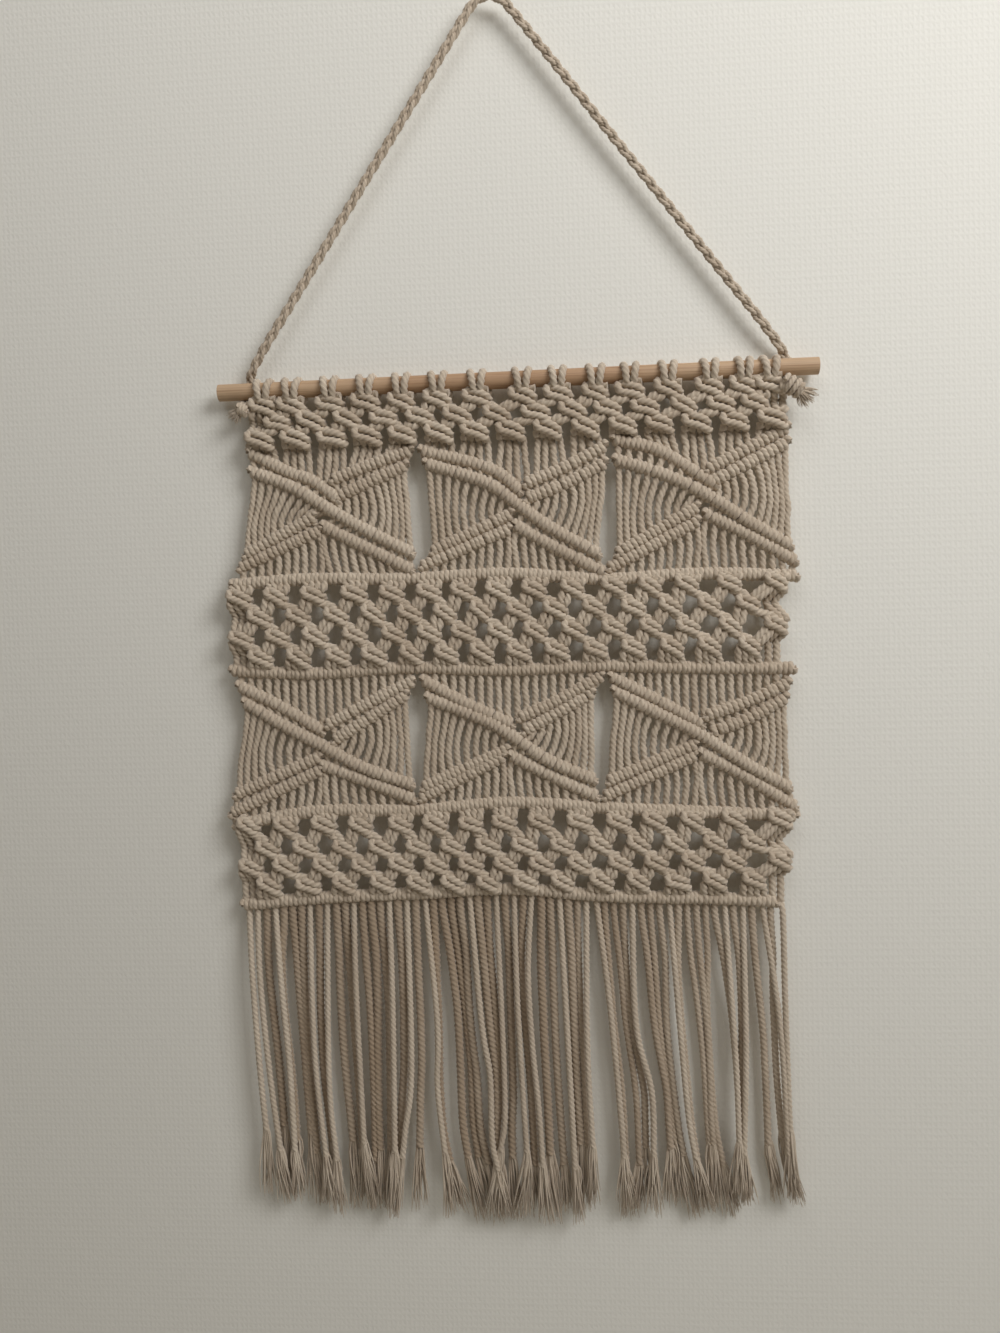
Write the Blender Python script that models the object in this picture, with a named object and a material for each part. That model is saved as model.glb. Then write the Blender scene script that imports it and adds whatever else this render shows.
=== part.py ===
"""Macrame wall hanging on a wooden rod, as closed solids in metres, +Z up.

The origin is the point where the hanger cord bends over its nail. The object
faces -Y, and the wall is on its +Y side. Heights on the knotted panel are given
as a drop in millimetres below the middle of the rod.
"""
import math
from collections import namedtuple

import bmesh
import bpy
import numpy as np
from mathutils import Matrix, Vector

MM = 0.001
GAP = 0.3                      # clearance between neighbouring pieces, mm

# ---- rod -------------------------------------------------------------------
ROD_RADIUS = 6.0
ROD_LEFT, ROD_RIGHT = -203.0, 223.0
ROD_Z = -263.0                 # middle of the rod below the hang point, mm

# ---- hanger cord, a plait 7.5 mm across, and its ties round the rod ---------
HANGER_DIAMETER = 7.5
HANGER_ROUTE = (               # middle of the plait: x, z in mm, left tie to right tie
    (-178.0, -246.5), (-156.0, -214.0), (-129.0, -174.5), (-102.0, -134.5),
    (-75.0, -95.0), (-48.0, -55.5), (-27.0, -24.5), (-16.5, -9.0), (-12.5, -3.5),
    (-7.5, 1.5), (0.0, 3.75), (7.5, 1.8), (13.0, -3.0), (17.5, -8.5),
    (29.0, -23.5), (52.0, -54.0), (81.0, -93.0), (110.5, -132.0), (139.5, -170.5),
    (169.0, -209.5), (197.0, -246.5))
HANGER_STEP = 12.0
TIE_RADIUS = 2.3               # half the thickness of the plait where it wraps the rod
TIE_LEFT_X, TIE_RIGHT_X = -179.5, 199.5
TIE_TURNS = (45.0, 20.0, -5.0, -30.0, -55.0, -80.0, -100.0)  # degrees above the level of the back
TIE_START = (3.4, 10.2)        # y and height over the rod's middle, under the plait's end
Knot = namedtuple("Knot", "name x y drop rx ry rz")
TIE_KNOTS = (
    Knot("tie_knot_left", -183.0, -9.0, 14.5, 5.6, 4.3, 4.8),
    Knot("tie_knot_right", 203.5, -9.0, 14.5, 7.4, 4.3, 4.8))
BRUSH_X, BRUSH_Y, BRUSH_DROP, BRUSH_LENGTH = 216.0, -9.0, 15.0, 8.0
BRUSH_RADII = (4.4, 2.6)

# ---- cords folded over the rod: fifteen pairs of strands --------------------
LOOP_CENTRES = (-169.5, -149.0, -121.0, -95.0, -69.5, -43.0, -15.0, 17.0, 42.0,
                68.5, 92.5, 119.0, 148.0, 171.5, 189.5)
LOOP_WIDTH = 12.0
LOOP_THICKNESS = 4.4
LOOP_FOOT_DROP = 8.2
LOOP_FOOT_HALF = 4.4
LOOP_CROWN = (-15.0, 195.0, 9)     # the outer arc: first and last angle, number of corners
LOOP_HOLE_SIDES = 12

# ---- knotted panel ----------------------------------------------------------
KNOT_HALF = 4.3                # half the depth of a square knot
CORD_HALF = 2.0                # half the depth of a layer of loose cords
BAR_RADIUS = 4.4               # hitched bar: leader cord and its wraps
Edge = namedtuple("Edge", "drop left right")
EDGES = (                      # outline of the panel, a row for each height
    Edge(6, -174, 195), Edge(42, -184, 201), Edge(107, -187, 203),
    Edge(139, -199, 206), Edge(165, -201, 196), Edge(190, -202, 194),
    Edge(207, -203, 202), Edge(222, -199, 203), Edge(262, -200, 201),
    Edge(297, -203, 203), Edge(314, -207, 203), Edge(332, -204, 195),
    Edge(362, -201, 189), Edge(375, -200, 188), Edge(420, -197, 194),
    Edge(600, -200, 202))
TOP_NET_DROPS = (LOOP_FOOT_DROP + GAP, 38.0)

# Heights of the four horizontal bars at seven stations across the panel.
STATIONS = (-207.0, -140.0, -70.0, 0.0, 70.0, 140.0, 206.0)
Bar = namedtuple("Bar", "name drops")
BARS = (
    Bar("bar_1", (139.0, 136.5, 138.5, 137.0, 143.0, 141.5, 145.0)),
    Bar("bar_2", (201.0, 205.0, 202.5, 206.0, 205.0, 208.0, 210.0)),
    Bar("bar_3", (315.5, 306.0, 306.5, 302.0, 307.0, 311.0, 315.0)),
    Bar("bar_4", (375.0, 370.0, 367.5, 365.0, 371.0, 373.0, 377.0)))
BAR_REACH = BAR_RADIUS + 2 * GAP   # where the pieces above and below a bar stop

# ---- leaf motifs: four pairs of slanting bars that cross -------------------
# tl, tr: upper outer tips; cx: crossing; bl, br: lower outer tips (x, drop).
# side_l, side_r: outer faces of the loose cords, level with the crossing.
# bow: how far the upper left bars arch above a straight line.
Leaf = namedtuple("Leaf", "name tl tr cx bl br side_l side_r bow")
LEAVES = (
    Leaf("leaf_1", (-182, 44), (-68, 46), (-127, 86), (-188, 129), (-69, 131), -187, -67, 1),
    Leaf("leaf_2", (-55, 47), (73, 48), (12, 88), (-57, 130), (70, 136), -52, 75, 7),
    Leaf("leaf_3", (82, 45), (199, 43), (142, 86), (77, 134), (201, 134), 85, 202, 7),
    Leaf("leaf_4", (-196, 213), (-71, 212), (-135, 257), (-201, 306), (-72, 299), -200, -75, 1),
    Leaf("leaf_5", (-59, 212), (65, 213), (3, 255), (-62, 298), (62, 298), -59, 62, -1),
    Leaf("leaf_6", (77, 213), (198, 218), (138, 256), (71, 298), (199, 307), 74, 201, 0))
TIP_OVERHANG = 1.0             # outermost cord beyond the tips of the slanting bars
CUT_REACH = 240.0              # how far to each side the cuts for the bars go
ROOM_ABOVE = (500.0, 50.0, 50.0)   # block that cuts the room of the top net out of a leaf
PAIR_DROP = 12.0               # one bar of a pair below the other
CROSS = {                      # where the other bars meet the crossing, from its middle
    "upper_left": (4, -8), "upper_right": (4, -17), "inner_right": (8, -4),
    "inner_left": (-4, 8), "lower_left": (-3, 17), "lower_right": (-1, 15)}

# ---- net bands: four rows of square knots, fifteen and fourteen in turn -----
NET_ROWS = 4
NET_COLUMNS = 15
NET_FIRST_X, NET_LAST_X = -191.0, 190.0
HOLE_WIDTH, HOLE_HEIGHT = 8.5, 9.0
SIDE_REACH = 17.0              # how far up and down a band its edges are followed
STRIP_COLUMN = 7               # the narrow strip starts beside this knot
NET_BANDS = (("net_band_1", 0, 1), ("net_band_2", 2, 3))

# ---- fringe -----------------------------------------------------------------
STRANDS = 60
STRAND_WIDTH = 4.4
FRINGE_HEADS = (2.6, 3.4)      # where the strands part, nearer and farther ones
FRINGE_FOOT_DROP = 595.0       # where the fringe's lower width is measured
FringeEnd = namedtuple("FringeEnd", "x drop")
FRINGE_ENDS = (FringeEnd(-200, 594), FringeEnd(-140, 603), FringeEnd(-60, 609),
               FringeEnd(20, 608), FringeEnd(130, 599), FringeEnd(202, 587))
END_STAGGER = (0.0, -4.0, 2.0, -7.0, 3.0, -2.0, 1.0)

WELD_DISTANCE = 0.00002        # metres, closes slivers that the joins leave

Finish = namedtuple("Finish", "colour roughness")
COTTON = Finish((0.44, 0.36, 0.27), 0.9)
WOOD = Finish((0.42, 0.27, 0.16), 0.55)


# ---- building blocks ---------------------------------------------------------
def clear_scene():
    for item in list(bpy.data.objects):
        bpy.data.objects.remove(item, do_unlink=True)


def collection(name):
    made = bpy.data.collections.new(name)
    bpy.context.scene.collection.children.link(made)
    return made


def material(name, finish):
    made = bpy.data.materials.new(name)
    made.use_nodes = True
    shader = made.node_tree.nodes["Principled BSDF"]
    shader.inputs["Base Color"].default_value = (*finish.colour, 1.0)
    shader.inputs["Roughness"].default_value = finish.roughness
    shader.inputs["Metallic"].default_value = 0.0
    return made


def place(obj, name, pieces, finish):
    """Name an object, give it a material of its own and file it among the pieces."""
    obj.name = name
    obj.data.name = name
    for owner in list(obj.users_collection):
        owner.objects.unlink(obj)
    pieces.objects.link(obj)
    obj.data.materials.clear()
    obj.data.materials.append(material(name + "_finish", finish))
    return obj


def at(x, drop, y=0.0):
    """World point of a place on the panel, from millimetres."""
    return Vector((x * MM, y * MM, (ROD_Z - drop) * MM))


def smooth(points, step):
    """Points a step apart on a Catmull-Rom curve through the given ones."""
    pts = [np.array(p, dtype=float) for p in points]
    pts = [2 * pts[0] - pts[1]] + pts + [2 * pts[-1] - pts[-2]]
    fine = []
    for a, b, c, d in zip(pts, pts[1:], pts[2:], pts[3:]):
        for t in np.linspace(0.0, 1.0, 12, endpoint=False):
            fine.append(0.5 * (2 * b + (c - a) * t + (2 * a - 5 * b + 4 * c - d) * t ** 2
                               + (3 * b - a - 3 * c + d) * t ** 3))
    fine.append(pts[-2])
    fine = np.array(fine)
    run = np.concatenate(([0.0], np.cumsum(np.linalg.norm(np.diff(fine, axis=0), axis=1))))
    count = max(2, round(run[-1] / step) + 1)
    places = np.linspace(0.0, run[-1], count)
    return [tuple(np.interp(places, run, fine[:, k])[i] for k in range(fine.shape[1]))
            for i in range(count)]


def tube(name, points, radius, bevel_resolution=1):
    """A capped tube along world points, as a curve object."""
    data = bpy.data.curves.new(name, "CURVE")
    data.dimensions = "3D"
    data.bevel_depth = radius
    data.bevel_resolution = bevel_resolution
    data.use_fill_caps = True
    data.resolution_u = 1
    spline = data.splines.new("POLY")
    spline.points.add(len(points) - 1)
    for slot, point in zip(spline.points, points):
        slot.co = (*point, 1.0)
    obj = bpy.data.objects.new(name, data)
    bpy.context.scene.collection.objects.link(obj)
    return obj


def plate(name, outlines, half_depth):
    """A flat plate in the XZ plane from closed outlines of (x, z) in metres."""
    data = bpy.data.curves.new(name, "CURVE")
    data.dimensions = "2D"
    data.fill_mode = "BOTH"
    data.extrude = half_depth * MM
    data.resolution_u = 1
    for outline in outlines:
        spline = data.splines.new("POLY")
        spline.points.add(len(outline) - 1)
        for slot, (x, z) in zip(spline.points, outline):
            slot.co = (x, z, 0.0, 1.0)
        spline.use_cyclic_u = True
    obj = bpy.data.objects.new(name, data)
    obj.rotation_euler = (math.pi / 2, 0.0, 0.0)
    bpy.context.scene.collection.objects.link(obj)
    return obj


def as_mesh(obj):
    """Turn a curve object into a welded mesh object with the same name."""
    bpy.context.view_layer.update()
    graph = bpy.context.evaluated_depsgraph_get()
    mesh = bpy.data.meshes.new_from_object(obj.evaluated_get(graph))
    work = bmesh.new()
    work.from_mesh(mesh)
    bmesh.ops.remove_doubles(work, verts=work.verts, dist=0.00001)
    work.to_mesh(mesh)
    work.free()
    made = bpy.data.objects.new(obj.name, mesh)
    made.matrix_world = obj.matrix_world.copy()
    bpy.context.scene.collection.objects.link(made)
    bpy.data.objects.remove(obj, do_unlink=True)
    return made


def boolean(target, tool, operation, cutters):
    """Join or cut a mesh object with a tool that stays out of the model."""
    tool.hide_render = True
    tool.display_type = "WIRE"
    for owner in list(tool.users_collection):
        owner.objects.unlink(tool)
    cutters.objects.link(tool)
    step = target.modifiers.new(operation.lower() + "_" + tool.name, "BOOLEAN")
    step.operation = operation
    step.object = tool
    step.solver = "EXACT"


# ---- measures of the panel ----------------------------------------------------
def edge(drop, side):
    drops = [row.drop for row in EDGES]
    return float(np.interp(drop, drops, [getattr(row, side) for row in EDGES]))


def bar_drop(index, x):
    """Drop of a horizontal bar's middle at a place across the panel."""
    return float(np.interp(x, STATIONS, BARS[index].drops))


def across(start, stop):
    """Places across the panel: both ends and the stations between them."""
    return [start] + [x for x in STATIONS if start + 1.0 < x < stop - 1.0] + [stop]


def outline_along(xs, drops):
    return [(x * MM, (ROD_Z - drop) * MM) for x, drop in zip(xs, drops)]


# ---- rod, hanger and ties -----------------------------------------------------
def build_rod(pieces):
    bpy.ops.mesh.primitive_cylinder_add(
        vertices=32, radius=ROD_RADIUS * MM, depth=(ROD_RIGHT - ROD_LEFT) * MM,
        location=at((ROD_LEFT + ROD_RIGHT) / 2, 0.0), rotation=(0.0, math.pi / 2, 0.0))
    rod = place(bpy.context.active_object, "rod", pieces, WOOD)
    rod.data.shade_smooth()
    rod.data.set_sharp_from_angle(angle=math.radians(40))


def build_hanger(pieces):
    route = smooth(HANGER_ROUTE, HANGER_STEP)
    points = [(x * MM, 0.0, z * MM) for x, z in route]
    cord = tube("hanger_cord", points, HANGER_DIAMETER / 2 * MM)
    place(cord, "hanger_cord", pieces, COTTON)


def build_ties(pieces):
    """The hanger's ends go down behind the rod and under it to their knots in front."""
    ring_radius = ROD_RADIUS + GAP + TIE_RADIUS
    for name, x in (("tie_ring_left", TIE_LEFT_X), ("tie_ring_right", TIE_RIGHT_X)):
        points = [at(x, -TIE_START[1], TIE_START[0])]
        for turn in np.radians(TIE_TURNS):
            points.append(at(x, -ring_radius * math.sin(turn), ring_radius * math.cos(turn)))
        place(tube(name, points, TIE_RADIUS * MM), name, pieces, COTTON)
    for knot in TIE_KNOTS:
        mesh = bpy.data.meshes.new(knot.name)
        ball = bmesh.new()
        size = Matrix.Diagonal((knot.rx * MM, knot.ry * MM, knot.rz * MM, 1.0))
        bmesh.ops.create_uvsphere(ball, u_segments=12, v_segments=8, radius=1.0, matrix=size)
        ball.to_mesh(mesh)
        ball.free()
        obj = bpy.data.objects.new(knot.name, mesh)
        obj.location = at(knot.x, knot.drop, knot.y)
        place(obj, knot.name, pieces, COTTON)
    bpy.ops.mesh.primitive_cone_add(
        vertices=12, radius1=BRUSH_RADII[0] * MM, radius2=BRUSH_RADII[1] * MM,
        depth=BRUSH_LENGTH * MM, location=at(BRUSH_X, BRUSH_DROP, BRUSH_Y),
        rotation=(0.0, -math.pi / 2, 0.0))
    place(bpy.context.active_object, "tie_brush_right", pieces, COTTON)


def build_loops(pieces):
    """Closed teardrop rings round the rod, one for each pair of strands."""
    outer = ROD_RADIUS + GAP + LOOP_THICKNESS
    inner = ROD_RADIUS + GAP
    crown = [(outer * math.cos(a), outer * math.sin(a))
             for a in np.radians(np.linspace(*LOOP_CROWN))]
    profile = crown + [(-LOOP_FOOT_HALF, -LOOP_FOOT_DROP), (LOOP_FOOT_HALF, -LOOP_FOOT_DROP)]
    hole_radius = inner / math.cos(math.pi / LOOP_HOLE_SIDES)
    hole = [(hole_radius * math.cos(a), hole_radius * math.sin(a))
            for a in np.linspace(0.0, 2 * math.pi, LOOP_HOLE_SIDES, endpoint=False)]
    for number, x in enumerate(LOOP_CENTRES, start=1):
        name = f"rod_loop_{number:02d}"
        outlines = [[(u * MM, v * MM) for u, v in ring] for ring in (profile, hole)]
        loop = plate(name, outlines, LOOP_WIDTH / 2)
        loop.rotation_euler = (math.pi / 2, 0.0, math.pi / 2)
        loop.location = at(x, 0.0)
        place(loop, name, pieces, COTTON)


# ---- panel --------------------------------------------------------------------
def build_bars(pieces):
    for index, bar in enumerate(BARS):
        middle = float(np.mean(bar.drops))
        left = edge(middle, "left") + BAR_RADIUS * 0.5
        right = edge(middle, "right") - BAR_RADIUS * 0.5
        points = [at(x, bar_drop(index, x)) for x in across(left, right)]
        place(tube(bar.name, points, BAR_RADIUS * MM), bar.name, pieces, COTTON)


def build_top_net(pieces):
    top, bottom = TOP_NET_DROPS
    drops = np.linspace(top, bottom, 4)
    left = outline_along([edge(d, "left") for d in drops], drops)
    right = outline_along([edge(d, "right") for d in drops], drops)
    outline = left + right[::-1]
    place(plate("top_net", [outline], KNOT_HALF), "top_net", pieces, COTTON)


def slant_bars(leaf):
    """The seven hitched bars of one leaf, as lists of (x, drop)."""
    cross_x, cross_drop = leaf.cx

    def meet(key):
        return (cross_x + CROSS[key][0], cross_drop + CROSS[key][1])

    def below(tip, sign=1):
        return (tip[0], tip[1] + sign * PAIR_DROP)

    def arched(start, end, rise):
        middle = ((start[0] + end[0]) / 2, (start[1] + end[1]) / 2 - rise)
        return [start, middle, end]

    return {
        "a": arched(leaf.tl, meet("upper_left"), leaf.bow),
        "b": arched(leaf.tr, meet("upper_right"), 0.0),
        "c": arched(below(leaf.tl), leaf.cx, leaf.bow) + [below(leaf.br, -1)],
        "d": arched(below(leaf.tr), meet("inner_right"), 0.0),
        "e": [meet("inner_left"), below(leaf.bl, -1)],
        "f": [meet("lower_left"), leaf.bl],
        "g": [meet("lower_right"), leaf.br]}


def leaf_outline(leaf, top_drop, bar_above, bar_below):
    """Outer form of one leaf between the row above it and the bar below it."""
    top_left, top_right = leaf.tl[0] - TIP_OVERHANG, leaf.tr[0] + TIP_OVERHANG
    low_left, low_right = leaf.bl[0] - TIP_OVERHANG, leaf.br[0] + TIP_OVERHANG
    upper_xs = across(top_left, top_right)
    lower_xs = across(low_left, low_right)
    if bar_above is None:
        top = [top_drop] * len(upper_xs)
    else:
        top = [bar_drop(bar_above, x) + BAR_REACH for x in upper_xs]
    bottom = [bar_drop(bar_below, x) - BAR_REACH for x in lower_xs]
    upper = outline_along(upper_xs, top)
    lower = outline_along(lower_xs, bottom)
    waist_left = outline_along([leaf.side_l], [leaf.cx[1]])
    waist_right = outline_along([leaf.side_r], [leaf.cx[1]])
    return upper + waist_right + lower[::-1] + waist_left


def clearance(name, index):
    """A tube a little fatter than a horizontal bar, to cut its room out of a leaf."""
    points = [at(x, bar_drop(index, x)) for x in across(-CUT_REACH, CUT_REACH)]
    radius = BAR_REACH / math.cos(math.pi / 8) * MM
    return as_mesh(tube(name, points, radius, bevel_resolution=2))


def build_leaves(pieces, cutters):
    net_floor = TOP_NET_DROPS[1] + GAP
    for number, leaf in enumerate(LEAVES):
        lower_row = number >= 3
        above = 1 if lower_row else None
        below = 2 if lower_row else 0
        body = as_mesh(plate(leaf.name, [leaf_outline(leaf, net_floor, above, below)], CORD_HALF))
        for key, points in slant_bars(leaf).items():
            ridge = as_mesh(tube(f"{leaf.name}_ridge_{key}", [at(*p) for p in points],
                                 BAR_RADIUS * MM))
            boolean(body, ridge, "UNION", cutters)
        boolean(body, clearance(f"{leaf.name}_room_below", below), "DIFFERENCE", cutters)
        if lower_row:
            boolean(body, clearance(f"{leaf.name}_room_above", above), "DIFFERENCE", cutters)
        else:
            bpy.ops.mesh.primitive_cube_add(size=1.0)
            slab = bpy.context.active_object
            slab.name = f"{leaf.name}_room_above"
            slab.scale = [side * MM for side in ROOM_ABOVE]
            slab.location = at(0.0, net_floor - ROOM_ABOVE[2] / 2)
            boolean(body, slab, "DIFFERENCE", cutters)
        weld = body.modifiers.new("close_slivers", "WELD")
        weld.merge_threshold = WELD_DISTANCE
        place(body, leaf.name, pieces, COTTON)


def net_hole(x, drop):
    half_w, half_h = HOLE_WIDTH / 2, HOLE_HEIGHT / 2
    corners = ((-half_w, -half_h), (half_w, -half_h), (half_w, half_h), (-half_w, half_h))
    return outline_along([x + u for u, _ in corners], [drop + v for _, v in corners])


def net_holes(above, below):
    """Middle of each hole of a band: between neighbours in a row of knots."""
    columns = np.linspace(NET_FIRST_X, NET_LAST_X, NET_COLUMNS)
    holes = []
    for row in range(NET_ROWS):
        if row % 2 == 0:
            xs = (columns[:-1] + columns[1:]) / 2
        else:
            xs = columns[1:-1]
        for x in xs:
            top = bar_drop(above, x) + BAR_REACH
            pitch = (bar_drop(below, x) - BAR_REACH - top) / NET_ROWS
            holes.append((float(x), top + (row + 0.5) * pitch))
    return holes


def build_net_bands(pieces):
    """Each band is cut into three beside one column, so the middle strip is narrow."""
    pitch = (NET_LAST_X - NET_FIRST_X) / (NET_COLUMNS - 1)
    strip_left = NET_FIRST_X + STRIP_COLUMN * pitch - pitch / 4
    strip_right = strip_left + pitch
    for name, above, below in NET_BANDS:
        holes = net_holes(above, below)
        middle = (np.mean(BARS[above].drops) + np.mean(BARS[below].drops)) / 2
        spans = (("left", None, strip_left - GAP / 2),
                 ("middle", strip_left + GAP / 2, strip_right - GAP / 2),
                 ("right", strip_right + GAP / 2, None))
        for part, start, stop in spans:
            inner = list(np.linspace(middle - SIDE_REACH, middle + SIDE_REACH, 3))
            start_x = edge(middle, "left") if start is None else start
            stop_x = edge(middle, "right") if stop is None else stop
            xs = across(start_x, stop_x)
            upper = outline_along(xs, [bar_drop(above, x) + BAR_REACH for x in xs])
            lower = outline_along(xs, [bar_drop(below, x) - BAR_REACH for x in xs])
            right_side = [] if stop is not None else outline_along(
                [edge(d, "right") for d in inner], inner)
            left_side = [] if start is not None else outline_along(
                [edge(d, "left") for d in inner], inner)
            outline = upper + right_side + lower[::-1] + left_side[::-1]
            inside = [net_hole(x, d) for x, d in holes if start_x < x < stop_x]
            band = plate(f"{name}_{part}", [outline] + inside, KNOT_HALF)
            place(band, f"{name}_{part}", pieces, COTTON)


def build_fringe(pieces):
    """One comb: a narrow head under the last bar and a tooth for each strand."""
    last = len(BARS) - 1
    end_x = [row.x for row in FRINGE_ENDS]
    end_drop = [row.drop for row in FRINGE_ENDS]
    middle = float(np.mean(BARS[last].drops))
    top_left, top_right = edge(middle, "left"), edge(middle, "right")
    low_left, low_right = (edge(FRINGE_FOOT_DROP, side) for side in ("left", "right"))
    half = STRAND_WIDTH / 2
    teeth = []
    for strand in range(STRANDS):
        share = (strand + 0.5) / STRANDS
        x_top = top_left + share * (top_right - top_left)
        x_low = low_left + share * (low_right - low_left)
        head = bar_drop(last, x_top) + BAR_REACH + FRINGE_HEADS[strand % 2]
        end = float(np.interp(x_low, end_x, end_drop)) + END_STAGGER[strand % len(END_STAGGER)]
        teeth += outline_along([x_top - half, x_low - half, x_low + half, x_top + half],
                               [head, end, end, head])
    xs = across(top_left, top_right)[::-1]
    head_line = outline_along(xs, [bar_drop(last, x) + BAR_REACH for x in xs])
    place(plate("fringe", [teeth + head_line], CORD_HALF), "fringe", pieces, COTTON)


def main():
    clear_scene()
    pieces = collection("macrame_wall_hanging")
    cutters = collection("cutters")
    build_rod(pieces)
    build_hanger(pieces)
    build_ties(pieces)
    build_loops(pieces)
    build_top_net(pieces)
    build_bars(pieces)
    build_leaves(pieces, cutters)
    build_net_bands(pieces)
    build_fringe(pieces)


main()
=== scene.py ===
"""The finished look of a macrame wall hanging on a wooden rod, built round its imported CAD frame.

Every cord of the knotting is a real strand: a smooth middle line, worked out from the way the knot is tied,
that one Geometry Nodes tree sweeps with the section of a three-ply twist. Lengths are in millimetres and
a "drop" is a distance below the middle of the rod; the panel faces -Y and its middle plane is y = 0.
"""
import logging
import math
from dataclasses import dataclass, field
from enum import Enum
from typing import Any, Iterable, Mapping, Sequence

import bpy
import numpy as np
from mathutils import Matrix, Vector


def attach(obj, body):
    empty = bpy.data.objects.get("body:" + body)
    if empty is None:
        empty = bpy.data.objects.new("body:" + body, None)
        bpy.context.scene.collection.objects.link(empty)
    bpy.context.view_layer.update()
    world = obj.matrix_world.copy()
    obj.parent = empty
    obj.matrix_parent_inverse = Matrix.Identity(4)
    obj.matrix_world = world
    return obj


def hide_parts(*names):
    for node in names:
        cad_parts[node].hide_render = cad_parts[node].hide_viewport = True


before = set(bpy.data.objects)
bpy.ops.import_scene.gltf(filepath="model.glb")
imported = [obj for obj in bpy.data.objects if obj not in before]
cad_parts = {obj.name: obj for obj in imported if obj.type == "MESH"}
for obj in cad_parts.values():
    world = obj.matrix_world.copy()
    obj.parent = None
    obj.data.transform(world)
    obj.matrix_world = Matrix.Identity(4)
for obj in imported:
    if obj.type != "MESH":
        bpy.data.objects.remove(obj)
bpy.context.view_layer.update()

log = logging.getLogger("macrame")

MM = 0.001
Array = np.ndarray

ROD_Z = -263.0               # the middle of the rod, under the nail
CORD = 5.0                   # the working cord's thickness
LAY = 12.5                   # one full turn of its plies
CORDS = 60                   # cord ends across the panel
TIED = 4                     # cords in a knot
MOTIF = 20                   # cords in a leaf motif
DEPTH_WAY = np.array([0.0, 1.0, 0.0])
PLUMB = np.array([0.0, 0.0, -1.0])
YARN_LAY = 60.0              # one full turn of a single yarn
GOLDEN_TURN = 2.4            # radians from one yarn of a brush to the next, so that they fill its round
STATIONS = (-207.0, -140.0, -70.0, 0.0, 70.0, 140.0, 206.0)


def add_node(tree: bpy.types.NodeTree, kind: str, inputs: Mapping[Any, Any] | None = None,
             **settings: Any) -> bpy.types.Node:
    """Add one node with its settings and links.

    Args:
        tree: The node tree that gets the node.
        kind: The node's type name.
        inputs: A value, or another node's output, for each input socket by its name or number.
        settings: The node's own properties.

    Returns:
        The new node.
    """
    made = tree.nodes.new(kind)
    for name, value in settings.items():
        setattr(made, name, value)
    for key, value in (inputs or {}).items():
        socket = made.inputs[key]
        if isinstance(value, bpy.types.NodeSocket):
            tree.links.new(value, socket)
        else:
            socket.default_value = value
    return made


def linear(colour: str) -> tuple[float, float, float, float]:
    """Turn an sRGB hex colour into Blender's linear one.

    Args:
        colour: Six hex digits after a hash.

    Returns:
        The linear red, green, blue and an alpha of one.
    """
    parts = [int(colour[i:i + 2], 16) / 255 for i in (1, 3, 5)]
    red, green, blue = (p / 12.92 if p <= 0.04045 else ((p + 0.055) / 1.055) ** 2.4 for p in parts)
    return red, green, blue, 1.0


def smooth(points: Sequence[Sequence[float]] | Array, step: float) -> Array:
    """Draw a smooth line through points and space its own points evenly.

    Args:
        points: The places that the line goes through.
        step: The greatest distance between two points of the line.

    Returns:
        The line's points, as rows.
    """
    p = np.asarray(points, float)
    if len(p) > 2:
        ends = np.vstack([2 * p[0] - p[1], p, 2 * p[-1] - p[-2]])
        a, b, c, d = (ends[i:len(ends) - 3 + i, None, :] for i in range(4))
        t = np.linspace(0, 1, 8, endpoint=False)[None, :, None]
        curve = 0.5 * (2 * b + (c - a) * t + (2 * a - 5 * b + 4 * c - d) * t ** 2
                       + (3 * b - a - 3 * c + d) * t ** 3)
        p = np.vstack([curve.reshape(-1, p.shape[1]), p[-1:]])
    return even(p, step)


def even(line: Array, step: float) -> Array:
    """Space a line's points evenly, about a step apart."""
    run = np.concatenate([[0.0], np.cumsum(np.linalg.norm(np.diff(line, axis=0), axis=1))])
    at = np.linspace(0, run[-1], max(2, math.ceil(run[-1] / step) + 1))
    return np.stack([np.interp(at, run, line[:, k]) for k in range(line.shape[1])], axis=1)


def run_of(line: Array) -> Array:
    """The distance along a line at each of its points."""
    return np.concatenate([[0.0], np.cumsum(np.linalg.norm(np.diff(line, axis=0), axis=1))])


def arc(start: Array, start_way: Array, end: Array, end_way: Array, pull: float = 0.4) -> Array:
    """A soft curve between two places that leaves and arrives in given directions.

    Args:
        start: Where it begins.
        start_way: The direction in which it leaves.
        end: Where it ends.
        end_way: The direction in which it arrives.
        pull: How far it keeps to those directions, as a share of its span.

    Returns:
        Nine points of the curve.
    """
    reach = pull * float(np.linalg.norm(end - start))
    t = np.linspace(0, 1, 9)[:, None]
    first, last = start + reach * start_way, end - reach * end_way
    return (1 - t) ** 3 * start + 3 * (1 - t) ** 2 * t * first + 3 * (1 - t) * t ** 2 * last + t ** 3 * end


def place(x: float, y: float, drop: float) -> Array:
    """A point in the object's frame from its place on the panel."""
    return np.array([x, y, ROD_Z - drop])


class Section(Enum):
    """The cross-section that a strand is swept with: its sides, its plies and how deep their grooves go."""

    THREE_PLY = (9, 3, 0.15)
    HITCHED = (9, 3, 0.06)
    YARN = (4, 1, 0.0)


@dataclass
class Strand:
    """One cord of the work.

    Attributes:
        line: Its middle line, as rows of x, y and z.
        width: Its width, at all points or at each.
        lay: The length of one full turn of its plies.
        tone_and_painted_shade: How light it is, from 0 to 1: its own tone of yarn, and on the strands behind
            the fringe also painted shade.
        turn: The angle at which its plies start.
    """

    line: Array
    width: Any = CORD
    lay: float = LAY
    # How light a strand is: its own random tone, and on the strands behind the fringe also painted shade.
    tone_and_painted_shade: float = 0.5
    turn: float = 0.0


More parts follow.
